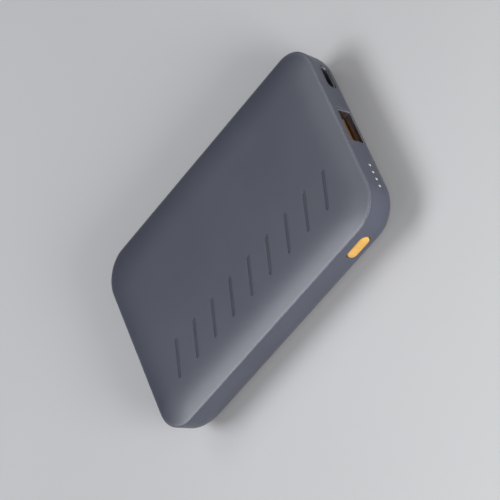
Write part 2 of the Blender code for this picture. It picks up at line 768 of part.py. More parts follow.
def make_usb_c():
    back = SOCKET_FACE - USB_C_DEPTH
    centre = (USB_C_Y, PORT_HEIGHT)
    outer = stadium(USB_C_WIDTH, USB_C_HEIGHT, centre)
    inner = stadium(USB_C_WIDTH - 2 * SHEET, USB_C_HEIGHT - 2 * SHEET, centre)
    add_object("usb_c_shell", tube(outer, inner, "X", back, SOCKET_FACE), socket_steel())
    filling = stadium(
        USB_C_WIDTH - 2 * SHEET - 2 * GAP, USB_C_HEIGHT - 2 * SHEET - 2 * GAP, centre
    )
    block_front = back + USB_C_BLOCK
    insulator = add_object(
        "usb_c_insulator", prism(filling, "X", back, block_front), black_insulator()
    )
    half_y = TONGUE_C_WIDTH / 2
    half_z = TONGUE_C_THICKNESS / 2
    low = (block_front - TONGUE_ROOT, USB_C_Y - half_y, PORT_HEIGHT - half_z)
    high = (SOCKET_FACE - TONGUE_C_SETBACK, USB_C_Y + half_y, PORT_HEIGHT + half_z)
    join(insulator, "usb_c_tongue", block(low, high, CONTACT_GAP))
    make_usb_c_comb("usb_c_contacts_front", 1, block_front + GAP)
    make_usb_c_comb("usb_c_contacts_rear", -1, block_front + GAP)


def make_usb_c_comb(name, side, back):
    """One side's contacts as a comb: a carrier strip with a finger for each contact."""
    carrier = back + COMB_CARRIER
    finger_end = SOCKET_FACE - COMB_SETBACK
    half_finger = COMB_FINGER / 2
    half_width = USB_C_PITCH * (USB_C_CONTACTS - 1) / 2 + half_finger
    outline = [(back, half_width), (back, -half_width)]
    for number in range(USB_C_CONTACTS):
        y = USB_C_PITCH * (number - (USB_C_CONTACTS - 1) / 2)
        if number:
            outline.append((carrier, y - half_finger))
        outline += [(finger_end, y - half_finger), (finger_end, y + half_finger)]
        if number < USB_C_CONTACTS - 1:
            outline.append((carrier, y + half_finger))
    outline = [(x, USB_C_Y + y) for x, y in outline]
    near = PORT_HEIGHT + side * (TONGUE_C_THICKNESS / 2 + CONTACT_GAP)
    far = near + side * COMB_THICKNESS
    add_object(name, prism(outline, "Z", min(near, far), max(near, far)), contact_gold())


# ---------------------------------------------------------------- lights


def make_lights():
    """Four chips on the board, and one clear guide whose pins end in the case's holes."""
    outer_x = CASE_LENGTH / 2 - wall_inset(PORT_HEIGHT)
    bar_front = outer_x - WALL - GAP
    bar_back = bar_front - GUIDE_DEPTH
    half_bar = LIGHT_PITCH * (LIGHT_COUNT - 1) / 2 + GUIDE_END
    low = (bar_back, LIGHTS_Y - half_bar, PORT_HEIGHT - GUIDE_HEIGHT / 2)
    high = (bar_front, LIGHTS_Y + half_bar, PORT_HEIGHT + GUIDE_HEIGHT / 2)
    guide = add_object("light_guide", block(low, high), light_plastic())
    for number, y in enumerate(light_positions(), 1):
        pin_end = circle(LIGHT_DIAMETER / 2, (y, PORT_HEIGHT), 12)
        join(guide, f"light_pin_{number}", prism(pin_end, "X", bar_front - GUIDE_DEPTH / 2, outer_x))
        centre = (bar_back - GAP - LIGHT_CHIP[0] / 2, y, PARTS_ON_BOARD + LIGHT_CHIP[2] / 2)
        chip = block_at(centre, LIGHT_CHIP, CHIP_EDGE / 2)
        add_object(f"charge_light_{number}", chip, light_plastic())


# ---------------------------------------------------------------- button and switch


def make_button():
    """A pill with a flange behind the wall, and a rib that meets the switch's plunger."""
    wall_y = CASE_WIDTH / 2 - wall_inset(PORT_HEIGHT)
    face_y = -(wall_y + BUTTON_PROUD)
    flange_y = -(wall_y - WALL - GAP)
    back_y = flange_y + FLANGE_THICKNESS
    centre = (BUTTON_X, PORT_HEIGHT)
    profile = [(0.9, 0.0), (0.3, 0.3), (0.0, 1.0)]  # inset and depth, as shares of the edge
    profile = [(BUTTON_EDGE * inset, face_y + BUTTON_EDGE * depth) for inset, depth in profile]
    rings = []
    for inset, depth in [*profile, (0.0, flange_y)]:
        outline = stadium(BUTTON_LENGTH - 2 * inset, BUTTON_HEIGHT - 2 * inset, centre)
        rings.append([(x, depth, z) for x, z in outline])
    flange = stadium(BUTTON_LENGTH + 2 * FLANGE_MARGIN, BUTTON_HEIGHT + 2 * FLANGE_MARGIN, centre)
    for depth in (flange_y, back_y):
        rings.append([(x, depth, z) for x, z in flange])
    button = add_object("button_cap", loft(rings), button_plastic(), (BUTTON_X, face_y, PORT_HEIGHT))
    rib_tip = back_y + RIB_REACH
    low = (BUTTON_X - RIB_WIDTH / 2, back_y - FLANGE_THICKNESS / 2, PORT_HEIGHT - RIB_HEIGHT / 2)
    high = (BUTTON_X + RIB_WIDTH / 2, rib_tip, PORT_HEIGHT + RIB_HEIGHT / 2)
    join(button, "button_rib", block(low, high))
    return rib_tip


def make_switch(rib_tip):
    """A side-push switch: a body with a pocket, its steel frame, and the plunger in it."""
    plunger_tip = rib_tip + GAP
    body_front = plunger_tip + PLUNGER_REACH
    body_back = body_front + SWITCH_DEPTH
    body_top = PORT_HEIGHT + SWITCH_TOP
    half = SWITCH_LENGTH / 2
    low = (BUTTON_X - half, body_front, PARTS_ON_BOARD)
    high = (BUTTON_X + half, body_back, body_top)
    body = add_object("switch_body", block(low, high), black_insulator())
    pocket_size = (
        PLUNGER_WIDTH + 2 * PLUNGER_SIDE_GAP,
        2 * POCKET_DEPTH,
        PLUNGER_HEIGHT + 2 * PLUNGER_SIDE_GAP,
    )
    cut(body, "switch_pocket", block_at((BUTTON_X, body_front, PORT_HEIGHT), pocket_size))
    plunger_back = body_front + POCKET_DEPTH - SWITCH_TRAVEL - PLUNGER_SIDE_GAP
    half_width = PLUNGER_WIDTH / 2
    low = (BUTTON_X - half_width, plunger_tip, PORT_HEIGHT - PLUNGER_HEIGHT / 2)
    high = (BUTTON_X + half_width, plunger_back, PORT_HEIGHT + PLUNGER_HEIGHT / 2)
    origin = (BUTTON_X, plunger_tip, PORT_HEIGHT)
    add_object("switch_plunger", block(low, high, PLUNGER_EDGE), light_plastic(), origin)
    low = (BUTTON_X - half, body_front, body_top + GAP)
    high = (BUTTON_X + half, body_back, body_top + GAP + SWITCH_FRAME_THICKNESS)
    add_object("switch_frame", block(low, high), socket_steel())


# ---------------------------------------------------------------- the whole object


def build():
    clear_scene()
    bpy.context.scene.collection.objects.link(bpy.data.objects.new(ROOT_NAME, None))
    make_front_cover()
    make_rear_cover()
    make_cell()
    make_cell_pads()
    make_cell_tabs()
    make_lead("lead_red", 1, red_silicone())
    make_lead("lead_black", -1, black_silicone())
    make_board()
    make_board_screws()
    make_board_parts()
    make_usb_a()
    make_usb_c()
    make_lights()
    rib_tip = make_button()
    make_switch(rib_tip)


build()
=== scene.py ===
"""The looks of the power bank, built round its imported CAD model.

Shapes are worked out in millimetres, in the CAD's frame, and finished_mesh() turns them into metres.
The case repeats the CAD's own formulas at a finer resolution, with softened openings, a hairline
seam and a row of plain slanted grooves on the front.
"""

import json
import math

import bmesh
import bpy
from mathutils import Matrix, Vector
from mathutils.geometry import delaunay_2d_cdt


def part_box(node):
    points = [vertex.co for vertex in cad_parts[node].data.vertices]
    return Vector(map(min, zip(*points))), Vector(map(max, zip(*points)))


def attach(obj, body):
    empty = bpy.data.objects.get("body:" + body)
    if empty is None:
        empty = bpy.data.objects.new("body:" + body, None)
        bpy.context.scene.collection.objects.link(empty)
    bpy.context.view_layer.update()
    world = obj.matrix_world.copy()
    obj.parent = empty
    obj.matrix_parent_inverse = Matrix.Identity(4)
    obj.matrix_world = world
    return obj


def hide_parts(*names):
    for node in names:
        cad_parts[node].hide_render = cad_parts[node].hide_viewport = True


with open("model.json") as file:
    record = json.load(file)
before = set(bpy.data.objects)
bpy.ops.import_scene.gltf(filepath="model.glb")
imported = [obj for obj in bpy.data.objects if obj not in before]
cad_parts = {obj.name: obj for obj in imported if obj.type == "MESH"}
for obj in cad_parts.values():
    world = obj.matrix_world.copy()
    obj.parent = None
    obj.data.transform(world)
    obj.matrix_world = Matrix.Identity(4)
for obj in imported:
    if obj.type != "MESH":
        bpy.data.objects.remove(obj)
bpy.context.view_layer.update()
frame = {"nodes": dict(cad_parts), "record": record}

MM = 0.001

# The case's form, as in the CAD.
CASE_LENGTH = 107.0
CASE_WIDTH = 69.0
CASE_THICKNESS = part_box("front_cover")[1].z / MM
CORNER_RADIUS = 10.3
CROWN_RISE = 1.1
CROWN_BAND = 14.0
FRONT_EDGE_RADIUS = 0.35
SIDE_DRAFT = math.radians(3.7)
REAR_ROUNDING = 9.0
RADIUS_LOSS = 0.2  # how much the corners tighten for each millimetre inwards
WALL = 1.5
EDGE_HEIGHT = CASE_THICKNESS - CROWN_RISE
COVER_BOTTOM = EDGE_HEIGHT - 0.5  # where the covers meet on the outside
LIP_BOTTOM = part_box("front_cover")[0].z / MM
LIP_GAP = 0.3
LIP_WALL = 1.0
RIM_SOFTNESS = 0.2
SEAM = 0.06
SEAM_EDGE = 0.05
FITTING_GAP = 0.3  # between pieces that almost touch inside the case
HOOK_STATIONS = (-36.0, -6.0, 18.0)
HOOK_SIZE = (5.0, 1.4, 0.8)
HOOK_POCKET = (5.6, 1.6, 1.4)
POST_RADIUS = 2.2
POST_HOLE_RADIUS = 0.95
RIB_LENGTH = 48.0
RIB_THICKNESS = 1.0

# How finely the case is drawn.
CORNER_STEPS = 20
LONG_STEPS = 24
SHORT_STEPS = 12
CROWN_STEPS = 18
ROUNDING_STEPS = 28
SHARP_ANGLE = math.radians(35)

# The row of plain slanted grooves on the front.
GROOVE_COUNT = 9
GROOVE_PITCH = 9.6
GROOVES_CENTRE = (1.0, -15.0)
GROOVE_HEIGHT = 12.0
GROOVE_WIDTH = 1.2
GROOVE_SLANT = math.radians(20)
GROOVE_DEPTH = 0.3
GROOVE_SOFTNESS = 0.16

# Openings.
OPENING_SOFTNESS = 0.3
SOCKET_CLEARANCE = 0.15
BUTTON_CLEARANCE = 0.2
BUTTON_SOFTNESS = 0.2
BUTTON_FLANGE = 0.6  # how far the button's flange stands past its face, all round
PIN_CLEARANCE = 0.05
PIN_SOFTNESS = 0.12
PIN_RADIUS = 0.45
LIGHT_COUNT = 4
BAR_END = 1.0  # how far the light guide's bar runs on past its outermost pins

# Sockets.
SHEET = 0.3  # the steel of both shells
SHELL_A_CORNER = 0.6
TONGUE_A_THICKNESS = 1.8
TONGUE_A_WIDTH = 11.2
BLOCK_A_DEPTH = 3.2
CHANNEL_WIDTH = 1.2
CHANNEL_DEPTH = 0.16
SPRING_ROOT = 9.6  # behind the mouth, like the tip and the window's middle
SPRING_TIP = 3.4
SPRING_WIDTH = 1.9
SPRING_THICKNESS = 0.22
SPRING_BEND = 0.5
SPRING_SPACING = 6.4
WINDOW_MIDDLE = 6.0
WINDOW_SIZE = (6.6, 2.6, 1.0)
CONTACT_THICKNESS = 0.25
CONTACT_GAP = 0.1  # between a contact and the tongue under it
CONTACT_FOOT = 0.8  # how far a contact's foot runs back along the board
CONTACT_COUNT = 4
TONGUE_C_THICKNESS = 0.7
TONGUE_C_WIDTH = 6.7
STEP_C_THICKNESS = 1.3
STEP_C_WIDTH = 6.0
FILLING_C_DEPTH = 2.0

# The floor and the camera.
FLOOR_REACH = 3000.0
CAMERA_TARGET = (-1.2, -1.2, 7.5)
CAMERA_DISTANCE = 948.4
CAMERA_AZIMUTH = math.radians(-49.37)
CAMERA_ELEVATION = math.radians(38.84)
CAMERA_ROLL = math.radians(-77.27)
CAMERA_LENS = 227.7


def box_of(node):
    """(lowest corner, highest corner) of a CAD node, in millimetres."""
    low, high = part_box(node)
    return low / MM, high / MM


def middle_of(node):
    low, high = box_of(node)
    return (low + high) / 2


# ---------------------------------------------------------------- outlines and meshes


def arc(centre, radius, start, turn, steps):
    points = []
    for step in range(steps + 1):
        angle = start + turn * step / steps
        points.append((centre[0] + radius * math.cos(angle), centre[1] + radius * math.sin(angle)))
    return points


def rounded_rectangle(length, height, radius, centre, steps=6):
    """Points (u, v) of a rectangle with round corners, anticlockwise."""
    half_u = length / 2 - radius
    half_v = height / 2 - radius
    points = []
    for quarter, (side_u, side_v) in enumerate(((1, 1), (-1, 1), (-1, -1), (1, -1))):
        corner = (centre[0] + side_u * half_u, centre[1] + side_v * half_v)
        points += arc(corner, radius, quarter * math.pi / 2, math.pi / 2, steps)
    return points


def stadium(length, height, centre, steps=24):
    """A slot outline: a rectangle whose short ends are half circles."""
    reach = (length - height) / 2
    right = arc((centre[0] + reach, centre[1]), height / 2, -math.pi / 2, math.pi, steps)
    return right + arc((centre[0] - reach, centre[1]), height / 2, math.pi / 2, math.pi, steps)


def circle(radius, centre, steps=32):
    return arc(centre, radius, 0.0, 2 * math.pi * (steps - 1) / steps, steps - 1)


def add_loft(mesh, rings, cap_first=True, cap_last=True):
    """Adds faces through rings with equal numbers of points."""
    rows = [[mesh.verts.new(point) for point in ring] for ring in rings]
    for first, second in zip(rows, rows[1:]):
        for i in range(len(first)):
            j = (i + 1) % len(first)
            mesh.faces.new((first[i], first[j], second[j], second[i]))
    if cap_first:
        mesh.faces.new(rows[0])
    if cap_last:
        mesh.faces.new(rows[-1])


def add_block(mesh, low, high, edge=0.0):
    """Adds a box between two corners, its edges rounded where an edge width is given."""
    centre = [(a + b) / 2 for a, b in zip(low, high)]
    size = [b - a for a, b in zip(low, high)]
    matrix = Matrix.Translation(centre) @ Matrix.Diagonal((*size, 1.0))
    verts = bmesh.ops.create_cube(mesh, size=1.0, matrix=matrix)["verts"]
    if edge:
        edges = list({e for v in verts for e in v.link_edges})
        bmesh.ops.bevel(mesh, geom=edges, offset=edge, segments=3, affect="EDGES", profile=0.5)


def add_block_at(mesh, centre, size, edge=0.0):
    low = [c - s / 2 for c, s in zip(centre, size)]
    high = [c + s / 2 for c, s in zip(centre, size)]
    add_block(mesh, low, high, edge)


def along_x(outline, x):
    return [(x, u, v) for u, v in outline]


def along_y(outline, y):
    return [(u, y, v) for u, v in outline]


def along_z(outline, z):
    return [(u, v, z) for u, v in outline]


def finished_mesh(mesh, name):
    """Closes off a bmesh in millimetres as a smooth-shaded mesh in metres."""
    bmesh.ops.recalc_face_normals(mesh, faces=mesh.faces)
    bmesh.ops.scale(mesh, verts=mesh.verts, vec=(MM, MM, MM))
    data = bpy.data.meshes.new(name)
    mesh.to_mesh(data)
    mesh.free()
    data.shade_smooth()
    data.set_sharp_from_angle(angle=SHARP_ANGLE)
    return data


def reopened(data):
    """A finished mesh as a bmesh in millimetres again."""
    mesh = bmesh.new()
    mesh.from_mesh(data)
    bmesh.ops.scale(mesh, verts=mesh.verts, vec=(1 / MM, 1 / MM, 1 / MM))
    return mesh


def add_piece(name, data, look, body, node):
    """Makes a piece that stands for one CAD node and rides with a body."""
    data.materials.clear()
    data.materials.append(look)
    piece = bpy.data.objects.new(name, data)
    bpy.context.scene.collection.objects.link(piece)
    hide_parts(node)
    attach(piece, body)


def cut_mesh(data, cutter_data, name):
    """The mesh with the cutter's shapes taken out of it."""
    scene = bpy.context.scene
    target = bpy.data.objects.new(name, data)
    cutter = bpy.data.objects.new(name + "_cutter", cutter_data)
    for obj in (target, cutter):
        scene.collection.objects.link(obj)
    modifier = target.modifiers.new("cut", "BOOLEAN")
    modifier.operation = "DIFFERENCE"
    modifier.solver = "EXACT"
    modifier.use_self = True
    modifier.object = cutter
    depsgraph = bpy.context.evaluated_depsgraph_get()
    result = bpy.data.meshes.new_from_object(target.evaluated_get(depsgraph))
    for obj in (target, cutter):
        bpy.data.objects.remove(obj)
    return result


def write_values(data, name, value_at):
    """Stores a value for each vertex, worked out from its place in millimetres."""
    layer = data.attributes.new(name, "FLOAT", "POINT")
    layer.data.foreach_set("value", [value_at(vertex.co / MM) for vertex in data.vertices])


def smoothstep(low, high, value):
    share = min(1.0, max(0.0, (value - low) / (high - low)))
    return share * share * (3 - 2 * share)


# ---------------------------------------------------------------- the case's form


def case_outline(inset, radius):
    """The case's outline this far inside its widest one, with points along its straight sides too."""
    half_x = CASE_LENGTH / 2 - inset - radius
    half_y = CASE_WIDTH / 2 - inset - radius
    corners = [(half_x, half_y), (-half_x, half_y), (-half_x, -half_y), (half_x, -half_y)]
    arcs = []
    for quarter, corner in enumerate(corners):
        arcs.append(arc(corner, radius, quarter * math.pi / 2, math.pi / 2, CORNER_STEPS))
    points = []
    for quarter, steps in enumerate((LONG_STEPS, SHORT_STEPS, LONG_STEPS, SHORT_STEPS)):
        points += arcs[quarter]
        start = Vector(arcs[quarter][-1])
        end = Vector(arcs[(quarter + 1) % 4][0])
        points += [tuple(start.lerp(end, step / steps)) for step in range(1, steps)]
    return points


def side_outline(inset, depth=0.0):
    return case_outline(inset, CORNER_RADIUS - depth - RADIUS_LOSS * (inset - depth))


def crown_outline(inset):
    return case_outline(inset, CORNER_RADIUS - inset / 2)


def wall_inset(height, depth=0.0):
    """How far the drafted side lies inside the front edge, for a surface this deep."""
    return depth / math.cos(SIDE_DRAFT) + math.tan(SIDE_DRAFT) * (EDGE_HEIGHT - height)


def rounding_centre_inset():
    tangent_height = REAR_ROUNDING * (1 - math.sin(SIDE_DRAFT))
    return wall_inset(tangent_height) + REAR_ROUNDING * math.cos(SIDE_DRAFT)


def side_inset(height):
    """How far the side lies inside the front edge at any height, its rounded foot included."""
    if height >= REAR_ROUNDING * (1 - math.sin(SIDE_DRAFT)):
        return wall_inset(height)
    drop = REAR_ROUNDING - height
    return rounding_centre_inset() - math.sqrt(REAR_ROUNDING**2 - drop**2)


def side_profile(depth=0.0, steps=ROUNDING_STEPS):
    """(inset, height) from the rear's flat, round the foot, to where the drafted side starts."""
    radius = REAR_ROUNDING - depth
    profile = []
    for step in range(steps + 1):
        angle = math.pi / 2 + (SIDE_DRAFT - math.pi / 2) * step / steps
        inset = rounding_centre_inset() - radius * math.cos(angle)
        profile.append((inset, REAR_ROUNDING - radius * math.sin(angle)))
    return profile


def front_edge_profile(steps=8):
    """(inset, height) round the front edge, from the drafted side to the crowned face."""
    slope = math.atan(3 * CROWN_RISE / CROWN_BAND)
    turn = math.pi / 2 - slope + SIDE_DRAFT
    tangent = FRONT_EDGE_RADIUS * math.tan(turn / 2)
    start_height = EDGE_HEIGHT - tangent * math.cos(SIDE_DRAFT)
    centre = (
        wall_inset(start_height) + FRONT_EDGE_RADIUS * math.cos(SIDE_DRAFT),
        start_height + FRONT_EDGE_RADIUS * math.sin(SIDE_DRAFT),
    )
    profile = []
    for step in range(steps + 1):
        angle = -SIDE_DRAFT + turn * step / steps
        inset = centre[0] - FRONT_EDGE_RADIUS * math.cos(angle)
        profile.append((inset, centre[1] + FRONT_EDGE_RADIUS * math.sin(angle)))
    return profile


FACE_START = front_edge_profile()[-1][0]


def crown_height(inset):
    share = min(1.0, max(0.0, inset / CROWN_BAND))
    return EDGE_HEIGHT + CROWN_RISE * (1 - (1 - share) ** 3)


def crown_inset(x, y):
    """The inset of the crown's outline through this point, whose corners tighten inwards."""
    u = abs(x) - (CASE_LENGTH / 2 - CORNER_RADIUS)
    v = abs(y) - (CASE_WIDTH / 2 - CORNER_RADIUS)
    reach = u + v + CORNER_RADIUS
    inset = 2 * (math.sqrt(max(0.0, reach * reach - u * u - v * v + CORNER_RADIUS**2)) - reach)
    if reach > 0 and u + inset / 2 > 0 and v + inset / 2 > 0:
        return inset
    return min(CASE_LENGTH / 2 - abs(x), CASE_WIDTH / 2 - abs(y))


def end_surface_x(y, z):
    """x of the outer surface of the end with the sockets."""
    inset = side_inset(z)
    radius = CORNER_RADIUS - RADIUS_LOSS * inset
    past = abs(y) - (CASE_WIDTH / 2 - inset - radius)
    flat_x = CASE_LENGTH / 2 - inset
    if past <= 0:
        return flat_x
    return flat_x - radius + math.sqrt(radius**2 - past**2)


def side_surface_y(z):
    """y of the outer surface of the long side with the button."""
    return -(CASE_WIDTH / 2 - side_inset(z))


# ---------------------------------------------------------------- the front's grooves


def groove_axes():
    """The middle lines of the slanted grooves, each from its lower to its upper end."""
    reach = (GROOVE_HEIGHT - GROOVE_WIDTH) / 2
    lean = Vector((math.tan(GROOVE_SLANT) * reach, reach))
    first = GROOVES_CENTRE[0] - GROOVE_PITCH * (GROOVE_COUNT - 1) / 2
    axes = []
    for number in range(GROOVE_COUNT):
        centre = Vector((first + GROOVE_PITCH * number, GROOVES_CENTRE[1]))
        axes.append((centre - lean, centre + lean))
    return axes


def groove_share(x, y):
    """How deep the front's grooves are here, from 0 on the face to 1 on their floors."""
    if abs(y - GROOVES_CENTRE[1]) > GROOVE_HEIGHT / 2 + GROOVE_SOFTNESS:
        return 0.0
    point = Vector((x, y))
    nearest = math.inf
    for low, high in groove_axes():
        along = high - low
        share = min(1.0, max(0.0, (point - low).dot(along) / along.length_squared))
        nearest = min(nearest, (point - low - along * share).length)
    radius = GROOVE_WIDTH / 2
    return 1 - smoothstep(radius - GROOVE_SOFTNESS, radius + GROOVE_SOFTNESS, nearest)


def groove_outline(low, high, radius, steps=8):
    """A slot's outline round a middle line."""
    heading = math.atan2(high.y - low.y, high.x - low.x)
    upper = arc(high, radius, heading - math.pi / 2, math.pi, steps)
    return upper + arc(low, radius, heading + math.pi / 2, math.pi, steps)


def front_height(x, y):
    return crown_height(crown_inset(x, y)) - GROOVE_DEPTH * groove_share(x, y)


def add_front_face(mesh, border):
    """The crowned face inside its border ring, as triangles that follow the crown and the grooves."""
    loops = [[(x, y) for x, y, z in border]]
    for step in range(1, CROWN_STEPS + 1):
        loops.append(crown_outline(FACE_START + (CROWN_BAND - FACE_START) * step / CROWN_STEPS))
    for low, high in groove_axes():
        for share in (-1.5, -1.0, -0.6, -0.2, 0.2, 0.6, 1.0, 1.5):
            loops.append(groove_outline(low, high, GROOVE_WIDTH / 2 + share * GROOVE_SOFTNESS))
    points = []
    edges = []
    for loop in loops:
        first = len(points)
        points += [Vector(point) for point in loop]
        edges += [(first + i, first + (i + 1) % len(loop)) for i in range(len(loop))]
    found, _, faces, *_ = delaunay_2d_cdt(points, edges, [], 0, 1e-5)
    verts = [mesh.verts.new((p.x, p.y, front_height(p.x, p.y))) for p in found]
    for face in faces:
        mesh.faces.new([verts[i] for i in face])


# ---------------------------------------------------------------- covers


def give_front_normals(data):
    """Gives the crowned face the normals of its own formula, so that its triangles don't show."""
    step = 0.01
    normals = [corner.vector.copy() for corner in data.corner_normals]
    for face in data.polygons:
        if face.normal.z < 0.3 or face.center.z / MM < EDGE_HEIGHT - FRONT_EDGE_RADIUS:
            continue
        for index in face.loop_indices:
            point = data.vertices[data.loops[index].vertex_index].co / MM
            if crown_inset(point.x, point.y) < FACE_START - 0.002:
                continue
            rise_x = front_height(point.x + step, point.y) - front_height(point.x - step, point.y)
            rise_y = front_height(point.x, point.y + step) - front_height(point.x, point.y - step)
            normals[index] = Vector((-rise_x, -rise_y, 2 * step)).normalized()
    data.normals_split_custom_set(normals)


def front_edge_wear_and_highlight(point):
    """1 on the crisp front edge, fading out on both sides of it: where the case is painted paler,
    partly wear and partly a painted highlight.
    """
    inset = crown_inset(point.x, point.y)
    return (1 - smoothstep(0.25, 1.1, inset)) * smoothstep(COVER_BOTTOM, EDGE_HEIGHT - 0.2, point.z)


def lip_inset():
    """How far the front cover's lip lies inside the front edge."""
    return wall_inset(LIP_BOTTOM, WALL) + LIP_GAP


def hook_places(reach):
    """The middles of the hooks along both long sides, this far out from the lip."""
    y = CASE_WIDTH / 2 - lip_inset() + reach
    z = LIP_BOTTOM + HOOK_SIZE[2] / 2
    return [(x, side * y, z) for side in (-1, 1) for x in HOOK_STATIONS]


def make_front_cover(look):
    """The crowned face, its crisp edge, and the lip whose hooks hold it in the rear cover."""
    mesh = bmesh.new()
    edge = [along_z(side_outline(inset), height) for inset, height in reversed(front_edge_profile())]
    border = [(x, y, front_height(x, y)) for x, y, z in edge[0]]
    add_front_face(mesh, border)
    lip_outside = lip_inset()
    lip_inside = lip_outside + LIP_WALL
    seam_inset = wall_inset(COVER_BOTTOM)
    rings = [border, *edge[1:]]
    rings.append(along_z(side_outline(seam_inset - 0.001), COVER_BOTTOM + SEAM_EDGE))
    rings.append(along_z(side_outline(seam_inset + SEAM_EDGE), COVER_BOTTOM))
    rings.append(along_z(side_outline(lip_outside, WALL), COVER_BOTTOM))
    rings.append(along_z(side_outline(lip_outside, WALL), LIP_BOTTOM + RIM_SOFTNESS))
    rings.append(along_z(side_outline(lip_outside + RIM_SOFTNESS, WALL), LIP_BOTTOM))
    rings.append(along_z(side_outline(lip_inside - RIM_SOFTNESS, WALL), LIP_BOTTOM))
    rings.append(along_z(side_outline(lip_inside, WALL), LIP_BOTTOM + RIM_SOFTNESS))
    for step in range(9):
        inset = lip_inside + (CROWN_BAND - lip_inside) * step / 8
        rings.append(along_z(crown_outline(inset), crown_height(inset) - WALL))
    add_loft(mesh, rings, cap_first=False)
    bmesh.ops.remove_doubles(mesh, verts=mesh.verts, dist=0.002)
    for place in hook_places(0.05):
        add_block_at(mesh, place, HOOK_SIZE, edge=0.15)
    data = finished_mesh(mesh, "front_shell")
    give_front_normals(data)
    # Where the case is painted darker on the groove floors, as painted shade.
    write_values(data, "groove", lambda p: groove_share(p.x, p.y) if p.z > COVER_BOTTOM + 1 else 0.0)
    # Where the case is painted paler at its front edge: partly wear, partly a painted highlight.
    write_values(data, "edge", front_edge_wear_and_highlight)
    add_piece("front_shell", data, look, "case", "front_cover")


def flared_cutter(mesh, outline_at, place, softness, depth):
    """Adds a cutter for an opening with a softened edge.

    outline_at gives its outline for a margin, and place puts a point of it under the surface.
    """
    steps = 5
    first_angle = math.radians(18)
    overshoot = 1.0
    rings = []
    for step in range(steps + 1):
        angle = first_angle + (math.pi / 2 - first_angle) * step / steps
        margin = softness * (1 - math.sin(angle))
        below = softness * (1 - math.cos(angle))
        outline = outline_at(margin)
        if step == 0:
            rings.append([place(u, v, -overshoot) for u, v in outline])
        rings.append([place(u, v, below) for u, v in outline])
    rings.append([place(u, v, depth) for u, v in outline_at(0.0)])
    add_loft(mesh, rings)


def in_end(y, z, depth):
    """A point this deep under the outer surface of the end with the sockets."""
    return (end_surface_x(y, z) - depth, y, z)


def in_side(x, z, depth):
    """A point this deep under the outer surface of the side with the button."""
    return (x, side_surface_y(z) + depth, z)


def light_places():
    """(y, z) of the light guide's pins."""
    low, high = box_of("light_guide")
    first = high.y - BAR_END
    pitch = (high.y - low.y - 2 * BAR_END) / (LIGHT_COUNT - 1)
    height = middle_of("light_guide").z
    return [(first - pitch * number, height) for number in range(LIGHT_COUNT)]


def socket_form(node, clearance=0.0):
    """(width, height, centre) of a socket's piece seen from its mouth, with room round it."""
    low, high = box_of(node)
    middle = middle_of(node)
    width = high.y - low.y + 2 * clearance
    height = high.z - low.z + 2 * clearance
    return width, height, (middle.y, middle.z)


def button_form():
    """(length, height, centre) of the button's face, seen from outside."""
    low, high = box_of("button_cap")
    middle = middle_of("button_cap")
    length = high.x - low.x - 2 * BUTTON_FLANGE
    height = high.z - low.z - 2 * BUTTON_FLANGE
    return length, height, (middle.x, middle.z)


def make_openings():
    """The cutters for the sockets, the lights, the button and the hook pockets."""
    mesh = bmesh.new()
    width_a, height_a, centre_a = socket_form("usb_a_shell", SOCKET_CLEARANCE)
    width_c, height_c, centre_c = socket_form("usb_c_shell", SOCKET_CLEARANCE)
    length, height, centre = button_form()

    def usb_a_outline(margin):
        size = (width_a + 2 * margin, height_a + 2 * margin)
        return rounded_rectangle(*size, SHELL_A_CORNER + SOCKET_CLEARANCE + margin, centre_a)

    def usb_c_outline(margin):
        return stadium(width_c + 2 * margin, height_c + 2 * margin, centre_c)

    def button_outline(margin):
        room = 2 * (BUTTON_CLEARANCE + margin)
        return stadium(length + room, height + room, centre)

    flared_cutter(mesh, usb_a_outline, in_end, OPENING_SOFTNESS, 4 * WALL)
    flared_cutter(mesh, usb_c_outline, in_end, OPENING_SOFTNESS, 4 * WALL)
    for place in light_places():
        radius = PIN_RADIUS + PIN_CLEARANCE
        flared_cutter(mesh, lambda m, at=place: circle(radius + m, at), in_end, PIN_SOFTNESS, 2 * WALL)
    flared_cutter(mesh, button_outline, in_side, BUTTON_SOFTNESS, 3 * WALL)
    seat_y = side_surface_y(centre[1]) + WALL
    seat_room = 2 * (BUTTON_FLANGE + FITTING_GAP)
    seat = stadium(length + seat_room, height + seat_room, centre)
    add_loft(mesh, [along_y(seat, seat_y), along_y(seat, seat_y + 2 * WALL)])
    for place in hook_places(0.1):
        add_block_at(mesh, place, HOOK_POCKET)
    return finished_mesh(mesh, "openings")


def make_rear_cover(look):
    """The rear and the side walls in one, open at the top, with every opening cut into it."""
    mesh = bmesh.new()
    rim = COVER_BOTTOM - SEAM
    outside = side_profile()
    rings = [along_z(side_outline(inset), height) for inset, height in outside]
    start = outside[-1][1]
    for step in range(1, 7):
        height = start + (rim - SEAM_EDGE - start) * step / 6
        rings.append(along_z(side_outline(wall_inset(height)), height))
    rings.append(along_z(side_outline(wall_inset(rim) + SEAM_EDGE), rim))
    inside = side_profile(WALL, 12)
    rings.append(along_z(side_outline(wall_inset(rim, WALL) - RIM_SOFTNESS, WALL), rim))
    rings.append(along_z(side_outline(wall_inset(rim, WALL), WALL), rim - RIM_SOFTNESS))
    rings += [along_z(side_outline(inset, WALL), height) for inset, height in reversed(inside)]
    add_loft(mesh, rings)
    data = cut_mesh(finished_mesh(mesh, "rear_shell"), make_openings(), "rear_shell")
    data = with_posts(data)
    write_values(data, "groove", lambda p: 0.0)
    write_values(data, "edge", lambda p: 0.0)
    add_piece("rear_shell", data, look, "case", "rear_cover")


